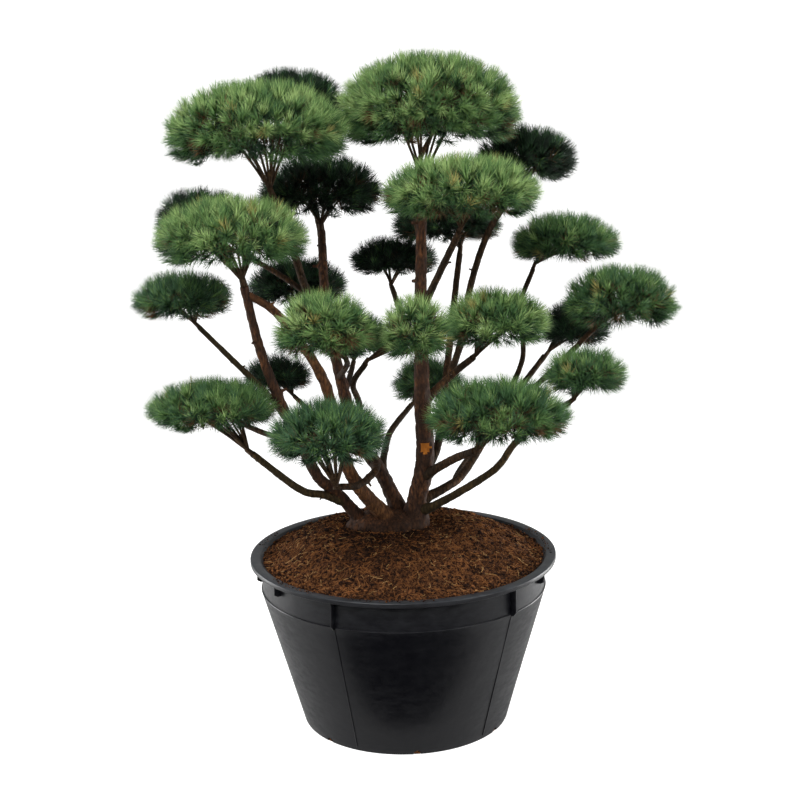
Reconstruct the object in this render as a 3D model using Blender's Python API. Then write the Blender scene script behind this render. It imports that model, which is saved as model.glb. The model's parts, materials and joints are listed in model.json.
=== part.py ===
"""Potted watereri Scots pine: several stems from one stool, boughs pruned bare and needles
clipped into cushions, in a black plastic nursery container filled with coarse mulch.

Metres, +Z up. The origin is the centre of the container's flat underside, and the plant's
front faces -Y. An azimuth is counted from the front, growing towards +X."""

import math
import random
from collections import namedtuple

import bmesh
import bpy
from mathutils import Matrix, Vector

# Gap left between pieces that touch
GAP = 0.0003

# Container
POT_HEIGHT = 0.448
RIM_RADIUS = 0.400
RIM_WIDTH = 0.027
RIM_THICKNESS = 0.006
RIM_LIP = 0.012
BAND_HEIGHT = 0.082
BAND_RADIUS = 0.371
LEDGE = 0.003
SOFT_EDGE = 0.002
FOOT_RADIUS = 0.2725
WALL = 0.0045
FLOOR = 0.006
POT_SEGMENTS = 32
LONG_GUSSETS = [math.radians(-27 + 72 * k) for k in range(5)]
SHORT_GUSSETS = [math.radians(a) for a in (-75, -56, 66, 85, 145, -145)]
LONG_GUSSET_HEIGHT = 0.084
SHORT_GUSSET_HEIGHT = 0.042
GUSSET_THICKNESS = 0.004
GUSSET_REACH = 0.020
DRAIN_NOTCHES = [math.radians(5.5 + 360 / 7 * k) for k in range(7)]
NOTCH_RADIUS = 0.009
NOTCH_LEVEL = 0.002

# Mulch, heaped up to a level place under the stool
MULCH_EDGE = 0.428
MULCH_TOP = 0.520
MULCH_LEVEL_RADIUS = 0.150
MULCH_RINGS = (0.3, 0.65)
GROUND = MULCH_TOP + GAP

# Stool from which all stems rise
STOOL_CENTRE = Vector((-0.040, 0.004, 0.515))
STOOL_HALF = Vector((0.108, 0.068, 0.046))
ROOT_FLARE = 1.5
FLARE_HEIGHT = 0.070
STOOL_CUT_DEPTH = 0.050

# Limbs. A limb without a parent starts in the stool, at its first bend; any other starts on
# its parent's axis, at the height leaves_at. thick and thin are the radii of its two ends.
Limb = namedtuple("Limb", "name parent leaves_at bends thick thin")
TRUNK = Limb(
    "trunk", None, None,
    [(0.026, 0.0, 0.490), (0.042, 0.0, 0.590), (0.062, -0.02, 0.716), (0.056, -0.03, 0.884),
     (0.059, 0.0, 1.161), (0.066, 0.01, 1.395)],
    0.028, 0.011,
)
LIMBS = [
    Limb("stem_left", None, None,
         [(-0.100, 0.0, 0.525), (-0.170, -0.03, 0.619), (-0.224, -0.08, 0.695),
          (-0.322, -0.17, 0.970), (-0.365, -0.21, 1.180)], 0.016, 0.0105),
    Limb("stem_inner_left", None, None,
         [(-0.035, -0.01, 0.535), (-0.107, -0.07, 0.640), (-0.145, -0.11, 0.739),
          (-0.189, -0.13, 0.937), (-0.285, -0.18, 1.101), (-0.356, -0.205, 1.160)], 0.020, 0.009),
    Limb("stem_back_left", None, None,
         [(0.000, 0.03, 0.535), (-0.059, 0.02, 0.666), (-0.119, 0.04, 0.766),
          (-0.183, 0.09, 1.050), (-0.198, 0.17, 1.275)], 0.020, 0.0105),
    Limb("bough_top_left", "stem_back_left", 1.065,
         [(-0.231, 0.06, 1.126), (-0.260, -0.02, 1.245), (-0.298, -0.12, 1.390)], 0.0105, 0.009),
    Limb("bough_top_back", "stem_back_left", 1.190,
         [(-0.205, 0.26, 1.262), (-0.240, 0.395, 1.380), (-0.272, 0.395, 1.530)], 0.009, 0.0075),
    Limb("bough_upper_left_back", "bough_top_left", 1.120,
         [(-0.330, 0.10, 1.185), (-0.446, 0.12, 1.245)], 0.0075, 0.006),
    Limb("bough_mid_left", "stem_left", 0.840,
         [(-0.344, -0.06, 0.898), (-0.401, -0.05, 0.955), (-0.500, -0.05, 1.060)], 0.009, 0.0065),
    Limb("bough_low_left", "stem_left", 0.590,
         [(-0.203, -0.05, 0.618), (-0.259, -0.09, 0.645), (-0.369, -0.14, 0.752)], 0.011, 0.0085),
    Limb("bough_low_front_left", "stem_back_left", 0.680,
         [(-0.068, -0.07, 0.682), (-0.108, -0.14, 0.667), (-0.150, -0.175, 0.673)], 0.010, 0.009),
    Limb("bough_front_centre", "stem_back_left", 0.715,
         [(-0.100, -0.12, 0.865), (-0.112, -0.22, 0.941), (-0.080, -0.275, 1.000)], 0.009, 0.007),
    Limb("bough_front_left", "stem_back_left", 0.905,
         [(-0.130, -0.10, 0.965), (-0.125, -0.27, 1.010)], 0.008, 0.0065),
    Limb("bough_low_back", "stem_back_left", 0.655,
         [(-0.042, 0.06, 0.705), (-0.026, 0.12, 0.742), (0.030, 0.20, 0.795)], 0.0095, 0.0075),
    Limb("bough_front_right", "trunk", 0.850,
         [(0.103, 0.0, 0.887), (0.145, 0.0, 0.925), (0.185, -0.07, 0.972)], 0.0105, 0.0085),
    Limb("bough_low_front_right", "trunk", 0.650,
         [(0.133, -0.10, 0.719), (0.180, -0.20, 0.764)], 0.012, 0.0095),
    Limb("bough_mid_back_right", "trunk", 0.580,
         [(0.116, 0.03, 0.609), (0.171, 0.08, 0.641), (0.268, 0.15, 0.773), (0.395, 0.22, 0.920)],
         0.012, 0.0075),
    Limb("bough_low_right", "trunk", 0.560,
         [(0.085, -0.03, 0.578), (0.231, -0.10, 0.686), (0.293, -0.12, 0.769),
          (0.412, -0.18, 0.876)], 0.011, 0.0075),
    Limb("bough_mid_right", "bough_mid_back_right", 0.770,
         [(0.364, 0.04, 0.884), (0.490, -0.08, 1.045)], 0.008, 0.0065),
    Limb("bough_upper_right", "bough_mid_back_right", 0.710,
         [(0.311, 0.08, 0.904), (0.323, 0.07, 0.985), (0.312, 0.05, 1.080), (0.345, 0.03, 1.180)],
         0.008, 0.006),
    Limb("bough_upper_front", "trunk", 1.085,
         [(0.080, -0.04, 1.133), (0.150, -0.155, 1.295)], 0.010, 0.008),
    Limb("bough_upper_back", "trunk", 0.655,
         [(0.097, 0.05, 0.720), (0.125, 0.12, 0.900), (0.154, 0.17, 1.122), (0.166, 0.19, 1.205)],
         0.011, 0.008),
    Limb("bough_top_right", "bough_front_right", 0.910,
         [(0.169, 0.05, 1.021), (0.186, 0.05, 1.135), (0.235, 0.04, 1.280), (0.310, 0.13, 1.370)],
         0.0095, 0.008),
    Limb("bough_mid_back", "trunk", 0.990,
         [(0.010, 0.15, 1.050), (-0.016, 0.30, 1.105)], 0.009, 0.007),
    Limb("bough_mid_back_left", "stem_back_left", 0.970,
         [(-0.230, 0.16, 1.015), (-0.275, 0.24, 1.040)], 0.008, 0.0065),
    Limb("bough_low_back_left", "stem_inner_left", 0.790,
         [(-0.200, 0.0, 0.800), (-0.250, 0.12, 0.812), (-0.285, 0.185, 0.828)], 0.008, 0.006),
    Limb("bough_rear_centre", "stem_back_left", 0.860,
         [(-0.135, 0.25, 0.872), (-0.130, 0.40, 0.880)], 0.009, 0.007),
    Limb("bough_rear_left", "stem_back_left", 0.705,
         [(-0.200, 0.17, 0.695), (-0.350, 0.26, 0.700), (-0.455, 0.32, 0.728)], 0.010, 0.0075),
    Limb("bough_rear_right", "bough_mid_back_right", 0.618,
         [(0.165, 0.16, 0.628), (0.215, 0.30, 0.648)], 0.010, 0.0075),
    Limb("bough_rear_top", "trunk", 1.250,
         [(0.050, 0.10, 1.330), (0.060, 0.30, 1.430), (0.095, 0.38, 1.500)], 0.0095, 0.007),
]
# Stems cut clear of a neighbour, where they run into it or stand close to it at the stool
CUT_BY = {"stem_inner_left": ["stem_left"], "stem_back_left": ["stem_inner_left"]}
STATION_LENGTH = 0.080
STEM_SIDES = 8
BOUGH_SIDES = 5
STEM_RADIUS = 0.0155

# Cushions of needles: the limb that carries each, its middle, and its half width, depth and
# height to the tips of the needles
Pad = namedtuple("Pad", "name carrier centre half tone")
PADS = [
    Pad("pad_top", "trunk", (0.083, 0.02, 1.610), (0.242, 0.215, 0.124), "light"),
    Pad("pad_top_left", "bough_top_left", (-0.326, -0.15, 1.564), (0.226, 0.190, 0.108), "light"),
    Pad("pad_top_back", "bough_top_back", (-0.280, 0.38, 1.630), (0.158, 0.142, 0.080), "deep"),
    Pad("pad_upper_back_left", "stem_back_left", (-0.200, 0.22, 1.393), (0.174, 0.148, 0.090), "deep"),
    Pad("pad_upper_left_back", "bough_upper_left_back", (-0.504, 0.10, 1.335),
        (0.128, 0.116, 0.075), "deep"),
    Pad("pad_upper_left", "stem_left", (-0.385, -0.25, 1.321), (0.191, 0.162, 0.090), "light"),
    Pad("pad_mid_left", "bough_mid_left", (-0.538, -0.05, 1.149), (0.135, 0.128, 0.066), "blue"),
    Pad("pad_mid_back_left", "bough_mid_back_left", (-0.274, 0.28, 1.135), (0.147, 0.132, 0.072), "deep"),
    Pad("pad_mid_back", "bough_mid_back", (-0.011, 0.34, 1.194), (0.130, 0.117, 0.060), "deep"),
    Pad("pad_upper_front", "bough_upper_front", (0.155, -0.22, 1.412), (0.196, 0.157, 0.084), "light"),
    Pad("pad_upper_back", "bough_upper_back", (0.134, 0.20, 1.301), (0.156, 0.120, 0.068), "deep"),
    Pad("pad_top_right", "bough_top_right", (0.340, 0.17, 1.468), (0.145, 0.131, 0.082), "deep"),
    Pad("pad_upper_right", "bough_upper_right", (0.426, 0.03, 1.264), (0.149, 0.134, 0.070), "mid"),
    Pad("pad_mid_right", "bough_mid_right", (0.546, -0.10, 1.129), (0.152, 0.137, 0.087), "mid"),
    Pad("pad_front_left", "bough_front_left", (-0.169, -0.38, 1.116), (0.128, 0.112, 0.085), "light"),
    Pad("pad_front_centre", "bough_front_centre", (0.040, -0.32, 1.095), (0.096, 0.092, 0.085), "light"),
    Pad("pad_front_right", "bough_front_right", (0.236, -0.14, 1.090), (0.144, 0.129, 0.079), "light"),
    Pad("pad_mid_back_right", "bough_mid_back_right", (0.478, 0.25, 1.006), (0.109, 0.120, 0.066), "deep"),
    Pad("pad_low_right", "bough_low_right", (0.448, -0.20, 0.965), (0.113, 0.108, 0.063), "mid"),
    Pad("pad_low_front_right", "bough_low_front_right", (0.225, -0.38, 0.913),
        (0.177, 0.141, 0.081), "mid"),
    Pad("pad_low_back", "bough_low_back", (0.079, 0.28, 0.856), (0.111, 0.111, 0.070), "blue"),
    Pad("pad_low_left", "bough_low_left", (-0.460, -0.17, 0.897), (0.170, 0.145, 0.066), "mid"),
    Pad("pad_low_front_left", "bough_low_front_left", (-0.167, -0.38, 0.872),
        (0.150, 0.135, 0.079), "blue"),
    Pad("pad_low_back_left", "bough_low_back_left", (-0.328, 0.20, 0.899), (0.103, 0.103, 0.054), "deep"),
    Pad("pad_rear_centre", "bough_rear_centre", (-0.135, 0.50, 0.950), (0.131, 0.125, 0.067), "mid"),
    Pad("pad_rear_left", "bough_rear_left", (-0.515, 0.34, 0.795), (0.136, 0.130, 0.060), "mid"),
    Pad("pad_rear_right", "bough_rear_right", (0.270, 0.42, 0.730), (0.140, 0.130, 0.065), "mid"),
    Pad("pad_rear_top", "bough_rear_top", (0.110, 0.43, 1.580), (0.150, 0.130, 0.075), "mid"),
]
RIM_LEVEL = 0.30
CORE_SHARE = 0.78
TUFT_SHARE = 0.97
TUFTS_FROM = 0.08
CORE_UNDER = 0.52
CORE_ROUGHNESS = 0.05
STEM_LENGTH = 0.022
STEM_TAPER = 0.9
TWIG_RADIUS = 0.0055
TWIG_TAPER = 0.6
TWIG_REACH = 0.5
TWIG_RISE = 0.25
TWIG_JITTER = 0.15
FEW_TWIGS = 3
MANY_TWIGS = 4
WIDE_PAD = 0.14
SPRAY_WIDTH = 0.070
SPRAY_THICKNESS = 0.006
SPRAY_ROOT = 0.58
LIMB_CLEARANCE = 0.004
SPRAYS_LEAST = 1.0
SPRAYS_PER_METRE = 9
SPRAY_JITTER = 0.12
SEED = 4127

# Colours, roughnesses
COLOURS = {
    "pot_plastic": ((0.012, 0.014, 0.018, 1), 0.35),
    "mulch": ((0.110, 0.045, 0.020, 1), 0.95),
    "bark": ((0.130, 0.060, 0.028, 1), 0.90),
    "bough_bark": ((0.110, 0.070, 0.032, 1), 0.85),
    "needles_light": ((0.080, 0.200, 0.060, 1), 0.60),
    "needles_mid": ((0.050, 0.145, 0.045, 1), 0.60),
    "needles_blue": ((0.040, 0.120, 0.060, 1), 0.60),
    "needles_deep": ((0.018, 0.055, 0.025, 1), 0.65),
}


def clear_scene():
    for obj in list(bpy.data.objects):
        bpy.data.objects.remove(obj, do_unlink=True)


def material(name):
    found = bpy.data.materials.get(name)
    if found:
        return found
    colour, roughness = COLOURS[name]
    made = bpy.data.materials.new(name)
    made.use_nodes = True
    shader = made.node_tree.nodes["Principled BSDF"]
    shader.inputs["Base Color"].default_value = colour
    shader.inputs["Roughness"].default_value = roughness
    shader.inputs["Metallic"].default_value = 0.0
    made.diffuse_color = colour
    return made


def to_object(bm, name, collection=None):
    """The bmesh as a new object, in the scene or in the collection given."""
    mesh = bpy.data.meshes.new(name)
    bm.to_mesh(mesh)
    bm.free()
    obj = bpy.data.objects.new(name, mesh)
    (collection or bpy.context.scene.collection).objects.link(obj)
    return obj


def finish(obj, slot, smooth=True):
    obj.data.materials.clear()
    obj.data.materials.append(material(slot))
    if smooth:
        obj.data.shade_smooth()
        obj.data.set_sharp_from_angle(angle=math.radians(40))
    return obj


def combine(obj, others, operation):
    """Joins or cuts obj with a collection of solids in one Boolean, then removes them."""
    modifier = obj.modifiers.new(operation.title(), "BOOLEAN")
    modifier.operation = operation
    modifier.operand_type = "COLLECTION"
    modifier.collection = others
    modifier.solver = "EXACT"
    bpy.context.view_layer.update()
    graph = bpy.context.evaluated_depsgraph_get()
    made = bpy.data.meshes.new_from_object(obj.evaluated_get(graph))
    obj.modifiers.clear()
    obj.data = made
    for helper in list(others.objects):
        bpy.data.objects.remove(helper, do_unlink=True)
    bpy.data.collections.remove(others)


def helpers():
    """A collection for the solids of one Boolean."""
    made = bpy.data.collections.new("helpers")
    bpy.context.scene.collection.children.link(made)
    return made


def keep_largest(obj):
    """Drops loose scraps and fills sealed hollows: only the largest closed shell stays."""
    bm = bmesh.new()
    bm.from_mesh(obj.data)
    bmesh.ops.remove_doubles(bm, verts=bm.verts, dist=1e-6)
    left = set(bm.faces)
    shells = []
    while left:
        shell = set()
        front = [left.pop()]
        while front:
            face = front.pop()
            shell.add(face)
            for edge in face.edges:
                for near in edge.link_faces:
                    if near in left:
                        left.remove(near)
                        front.append(near)
        shells.append(shell)
    shells.sort(key=shell_volume, reverse=True)
    scraps = [face for shell in shells[1:] for face in shell]
    if scraps:
        bmesh.ops.delete(bm, geom=scraps, context="FACES")
    bm.to_mesh(obj.data)
    bm.free()


def shell_volume(shell):
    total = 0.0
    for face in shell:
        corners = [v.co for v in face.verts]
        for second, third in zip(corners[1:], corners[2:]):
            total += corners[0].dot(second.cross(third)) / 6
    return total


def at_azimuth(azimuth, radius, height):
    return Vector((radius * math.sin(azimuth), -radius * math.cos(azimuth), height))


def turned(profile, name, segments=POT_SEGMENTS):
    """Solid of revolution about Z from a profile of (radius, height), bottom to top."""
    bm = bmesh.new()
    verts = [bm.verts.new((radius, 0.0, height)) for radius, height in profile]
    edges = [bm.edges.new(pair) for pair in zip(verts, verts[1:])]
    bmesh.ops.spin(bm, geom=verts + edges, cent=(0, 0, 0), axis=(0, 0, 1),
                   angle=math.tau, steps=segments, use_merge=True)
    bmesh.ops.remove_doubles(bm, verts=bm.verts, dist=1e-6)
    bmesh.ops.recalc_face_normals(bm, faces=bm.faces)
    return to_object(bm, name)


def inner_radius(height):
    """Inner radius of the wall: tapering up to the band, then upright."""
    foot = FOOT_RADIUS - WALL
    band = BAND_RADIUS - WALL
    return foot + (band - foot) * min(height / (POT_HEIGHT - BAND_HEIGHT), 1.0)


def gusset(azimuth, height, others):
    """Upright plate that stiffens the rim, standing out from the band."""
    top = POT_HEIGHT - RIM_THICKNESS / 2
    root = BAND_RADIUS - WALL / 2
    foot = top - height
    outline = [(root, foot), (root, top), (root + GUSSET_REACH, top),
               (root + GUSSET_REACH, foot + 0.12 * height), (root + 0.55 * GUSSET_REACH, foot)]
    bm = bmesh.new()
    half = Vector((math.cos(azimuth), math.sin(azimuth), 0)) * GUSSET_THICKNESS / 2
    face = bm.faces.new([bm.verts.new(at_azimuth(azimuth, r, z) - half) for r, z in outline])
    grown = bmesh.ops.extrude_face_region(bm, geom=[face])["geom"]
    verts = [v for v in grown if isinstance(v, bmesh.types.BMVert)]
    bmesh.ops.translate(bm, verts=verts, vec=half * 2)
    bmesh.ops.recalc_face_normals(bm, faces=bm.faces)
    to_object(bm, "gusset", others)


def notch(azimuth, others):
    """Cutter of one drain notch at the foot, a short round bar laid through the wall."""
    bm = bmesh.new()
    middle = at_azimuth(azimuth, FOOT_RADIUS, NOTCH_LEVEL)
    turn = Matrix.Rotation(azimuth, 4, "Z") @ Matrix.Rotation(math.pi / 2, 4, "X")
    bmesh.ops.create_cone(bm, cap_ends=True, segments=8, radius1=NOTCH_RADIUS,
                          radius2=NOTCH_RADIUS, depth=8 * WALL,
                          matrix=Matrix.Translation(middle) @ turn)
    to_object(bm, "notch", others)


def make_pot():
    flange_under = POT_HEIGHT - RIM_THICKNESS
    lip_foot = POT_HEIGHT - RIM_LIP
    band_foot = POT_HEIGHT - BAND_HEIGHT
    profile = [
        (0.0, 0.0),
        (FOOT_RADIUS, 0.0),
        (BAND_RADIUS + LEDGE, band_foot - SOFT_EDGE),
        (BAND_RADIUS - SOFT_EDGE / 2, band_foot),
        (BAND_RADIUS, flange_under),
        (RIM_RADIUS - RIM_THICKNESS, flange_under),
        (RIM_RADIUS - RIM_THICKNESS, lip_foot),
        (RIM_RADIUS, lip_foot),
        (RIM_RADIUS, POT_HEIGHT - SOFT_EDGE),
        (RIM_RADIUS - SOFT_EDGE, POT_HEIGHT),
        (RIM_RADIUS - RIM_WIDTH, POT_HEIGHT - SOFT_EDGE / 2),
        (BAND_RADIUS - WALL, POT_HEIGHT - RIM_THICKNESS),
        (BAND_RADIUS - WALL, band_foot),
        (inner_radius(FLOOR), FLOOR),
        (0.0, FLOOR),
    ]
    pot = turned(profile, "pot")
    plates = helpers()
    for azimuth in LONG_GUSSETS:
        gusset(azimuth, LONG_GUSSET_HEIGHT, plates)
    for azimuth in SHORT_GUSSETS:
        gusset(azimuth, SHORT_GUSSET_HEIGHT, plates)
    combine(pot, plates, "UNION")
    cutters = helpers()
    for azimuth in DRAIN_NOTCHES:
        notch(azimuth, cutters)
    combine(pot, cutters, "DIFFERENCE")
    keep_largest(pot)
    finish(pot, "pot_plastic")


def make_mulch():
    foot = FLOOR + GAP
    band_foot = POT_HEIGHT - BAND_HEIGHT
    edge = BAND_RADIUS - WALL - 2 * GAP
    profile = [(0.0, foot), (inner_radius(foot) - 2 * GAP, foot), (edge, band_foot),
               (edge, MULCH_EDGE)]
    for share in MULCH_RINGS:
        profile.append((edge - share * (edge - MULCH_LEVEL_RADIUS),
                        MULCH_EDGE + (MULCH_TOP - MULCH_EDGE) * math.sin(share * math.pi / 2)))
    profile += [(MULCH_LEVEL_RADIUS, MULCH_TOP), (0.0, MULCH_TOP)]
    finish(turned(profile, "mulch"), "mulch")


def smooth_route(points):
    """Even stations on a smooth curve through the points."""
    points = [Vector(p) for p in points]
    ends = [2 * points[0] - points[1]] + points + [2 * points[-1] - points[-2]]
    fine = []
    for a, b, c, d in zip(ends, ends[1:], ends[2:], ends[3:]):
        for step in range(12):
            t = step / 12
            fine.append(0.5 * (2 * b + (c - a) * t + (2 * a - 5 * b + 4 * c - d) * t ** 2
                               + (3 * b - a - 3 * c + d) * t ** 3))
    fine.append(points[-1])
    lengths = [0.0]
    for one, two in zip(fine, fine[1:]):
        lengths.append(lengths[-1] + (two - one).length)
    count = max(3, round(lengths[-1] / STATION_LENGTH) + 1)
    stations = []
    index = 0
    for k in range(count):
        wanted = lengths[-1] * k / (count - 1)
        while index < len(lengths) - 2 and lengths[index + 1] < wanted:
            index += 1
        share = (wanted - lengths[index]) / (lengths[index + 1] - lengths[index])
        stations.append(fine[index].lerp(fine[index + 1], min(share, 1.0)))
    return stations


def ring_frames(route):
    """One frame a station, its Z along the route, turning as little as it can."""
    frames = []
    side = Vector((1, 0, 0))
    for k, point in enumerate(route):
        before = route[max(k - 1, 0)]
        after = route[min(k + 1, len(route) - 1)]
        along = (after - before).normalized()
        side = (side - along * side.dot(along)).normalized()
        turn = Matrix((side, along.cross(side), along)).transposed()
        frames.append(Matrix.Translation(point) @ turn.to_4x4())
    return frames


def tube(route, radii, sides):
    """Closed tapering limb as a bmesh: a ring drawn out from station to station, then capped."""
    frames = ring_frames(route)
    bm = bmesh.new()
    bmesh.ops.create_circle(bm, segments=sides, radius=radii[0], matrix=frames[0])
    ring = bm.edges[:]
    for k in range(1, len(route)):
        grown = bmesh.ops.extrude_edge_only(bm, edges=ring)["geom"]
        ring = [g for g in grown if isinstance(g, bmesh.types.BMEdge)]
        verts = [g for g in grown if isinstance(g, bmesh.types.BMVert)]
        scale = Matrix.Scale(radii[k] / radii[k - 1], 4)
        bmesh.ops.transform(bm, matrix=frames[k] @ scale @ frames[k - 1].inverted(), verts=verts)
    bmesh.ops.holes_fill(bm, edges=bm.edges)
    bmesh.ops.recalc_face_normals(bm, faces=bm.faces)
    return bm


def taper(limb, route):
    """Radius at each station, with the trunk's flare at its foot."""
    radii = []
    for k, point in enumerate(route):
        radius = limb.thick + (limb.thin - limb.thick) * k / (len(route) - 1)
        if limb.name == "trunk":
            lift = min(max((point.z - GROUND) / FLARE_HEIGHT, 0.0), 1.0)
            radius *= ROOT_FLARE + (1 - ROOT_FLARE) * lift
        radii.append(radius)
    return radii


def on_axis(route, height):
    """The point where a route first reaches the height."""
    for one, two in zip(route, route[1:]):
        if one.z <= height <= two.z:
            return one.lerp(two, (height - one.z) / (two.z - one.z))
    raise ValueError(f"no station at height {height}")


def plan_limbs():
    """Every limb's route and radii, worked out from the trunk outwards."""
    planned = {}
    for limb in [TRUNK] + LIMBS:
        points = list(limb.bends)
        if limb.parent:
            points.insert(0, on_axis(planned[limb.parent][0], limb.leaves_at))
        route = smooth_route(points)
        planned[limb.name] = (route, taper(limb, route))
    return planned


def stool(grow):
    bm = bmesh.new()
    half = STOOL_HALF + Vector((grow, grow, grow))
    place = Matrix.Translation(STOOL_CENTRE) @ Matrix.Diagonal(half).to_4x4()
    bmesh.ops.create_icosphere(bm, subdivisions=2, radius=1.0, matrix=place)
    return bm


def trunk_solid(planned, name, grow, foot):
    """Trunk and stool in one, grown on all sides and cut flat at its foot."""
    route, radii = planned["trunk"]
    trunk = to_object(tube(route, [r + grow for r in radii], STEM_SIDES), name)
    others = helpers()
    to_object(stool(grow), "stool", others)
    combine(trunk, others, "UNION")
    bm = bmesh.new()
    bm.from_mesh(trunk.data)
    cut = bmesh.ops.bisect_plane(bm, geom=bm.verts[:] + bm.edges[:] + bm.faces[:],
                                 plane_co=(0, 0, foot), plane_no=(0, 0, 1), clear_inner=True)
    edges = [g for g in cut["geom_cut"] if isinstance(g, bmesh.types.BMEdge)]
    bmesh.ops.edgenet_fill(bm, edges=edges)
    bmesh.ops.recalc_face_normals(bm, faces=bm.faces)
    bm.to_mesh(trunk.data)
    bm.free()
    return trunk


def cutter_of(name, planned, others):
    """A limb grown by the gap, as a cutter that seats its neighbours on it."""
    if name == "trunk":
        solid = trunk_solid(planned, "cutter", GAP, GROUND - STOOL_CUT_DEPTH)
        bpy.context.scene.collection.objects.unlink(solid)
        others.objects.link(solid)
        return
    route, radii = planned[name]
    sides = STEM_SIDES if radii[0] > STEM_RADIUS else BOUGH_SIDES
    to_object(tube(route, [r + GAP for r in radii], sides), "cutter", others)


def make_limbs(planned):
    finish(trunk_solid(planned, "trunk", 0.0, GROUND), "bark")
    for limb in LIMBS:
        route, radii = planned[limb.name]
        is_stem = limb.thick > STEM_RADIUS
        obj = to_object(tube(route, radii, STEM_SIDES if is_stem else BOUGH_SIDES), limb.name)
        others = helpers()
        for name in [limb.parent or "trunk"] + CUT_BY.get(limb.name, []):
            cutter_of(name, planned, others)
        combine(obj, others, "DIFFERENCE")
        keep_largest(obj)
        finish(obj, "bark" if is_stem else "bough_bark")


def envelope(pad, direction, share=1.0):
    """The point of a pad's outer skin in a direction, as a share of the way from its middle."""
    half_x, half_y, half_z = pad.half
    up = (1 + RIM_LEVEL) * half_z if direction.z > 0 else (1 - RIM_LEVEL) * half_z
    middle = Vector(pad.centre) - Vector((0, 0, RIM_LEVEL * half_z))
    return middle + share * Vector((half_x * direction.x, half_y * direction.y, up * direction.z))


def depth_in(pad, point):
    """How far out a point lies in a pad, from 0 in the middle to 1 on its skin."""
    half_x, half_y, half_z = pad.half
    away = point - Vector(pad.centre) + Vector((0, 0, RIM_LEVEL * half_z))
    up = (1 + RIM_LEVEL) * half_z if away.z > 0 else (1 - RIM_LEVEL) * half_z
    return Vector((away.x / half_x, away.y / half_y, away.z / up)).length


def near_limb(points, planned):
    """Whether any of the points is nearer to a limb than the clearance."""
    for route, radii in planned.values():
        for one, two, radius in zip(route, route[1:], radii):
            along = two - one
            for point in points:
                share = min(max((point - one).dot(along) / along.length_squared, 0.0), 1.0)
                if (point - one - share * along).length < radius + LIMB_CLEARANCE:
                    return True
    return False


def core(pad, rng):
    """Smaller rounded body of a pad, flat below and tufted above, that the sprays stand out of."""
    bm = bmesh.new()
    bmesh.ops.create_icosphere(bm, subdivisions=2, radius=CORE_SHARE)
    upper = [face for face in bm.faces if face.calc_center_median().z > TUFTS_FROM]
    tips = bmesh.ops.poke(bm, faces=upper)["verts"]
    for vert in tips:
        vert.co = vert.co.normalized() * TUFT_SHARE * (1 + rng.uniform(-1, 1) * CORE_ROUGHNESS)
    half_x, half_y, half_z = pad.half
    middle = envelope(pad, Vector())
    for vert in bm.verts:
        up = (1 + RIM_LEVEL) if vert.co.z > 0 else CORE_UNDER / CORE_SHARE
        size = Vector((half_x * vert.co.x, half_y * vert.co.y, up * half_z * vert.co.z))
        vert.co = middle + size
    return bm


def spray(root, tip, across, others):
    """Toothed blade of needles, three points wide, sunk at its root."""
    along = tip - root
    side = across.normalized() * SPRAY_WIDTH / 2
    up = along.cross(across).normalized() * SPRAY_THICKNESS / 2
    outline = [
        root,
        root + 0.72 * along - side,
        root + 0.66 * along - 0.30 * side,
        tip,
        root + 0.66 * along + 0.30 * side,
        root + 0.80 * along + side,
    ]
    bm = bmesh.new()
    ring = [bm.verts.new(point) for point in outline]
    middle = root + 0.4 * along
    above = bm.verts.new(middle + up)
    below = bm.verts.new(middle - up)
    for one, two in zip(ring, ring[1:] + ring[:1]):
        bm.faces.new((one, two, above))
        bm.faces.new((two, one, below))
    bmesh.ops.recalc_face_normals(bm, faces=bm.faces)
    to_object(bm, "spray", others)


def spray_directions(pad, rng):
    """Where the sprays of a pad point: one upright, the others round its rim, one of them outward."""
    yield Vector((0, 0, 1))
    outward = math.atan2(pad.centre[1], pad.centre[0])
    count = round(SPRAYS_LEAST + SPRAYS_PER_METRE * (pad.half[0] + pad.half[1]))
    for k in range(count):
        jitter = SPRAY_JITTER if k else 0.0
        azimuth = outward + math.tau * k / count + rng.uniform(-jitter, jitter)
        lift = rng.uniform(-jitter, jitter)
        yield Vector((math.cos(lift) * math.cos(azimuth), math.cos(lift) * math.sin(azimuth),
                      math.sin(lift)))


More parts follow.
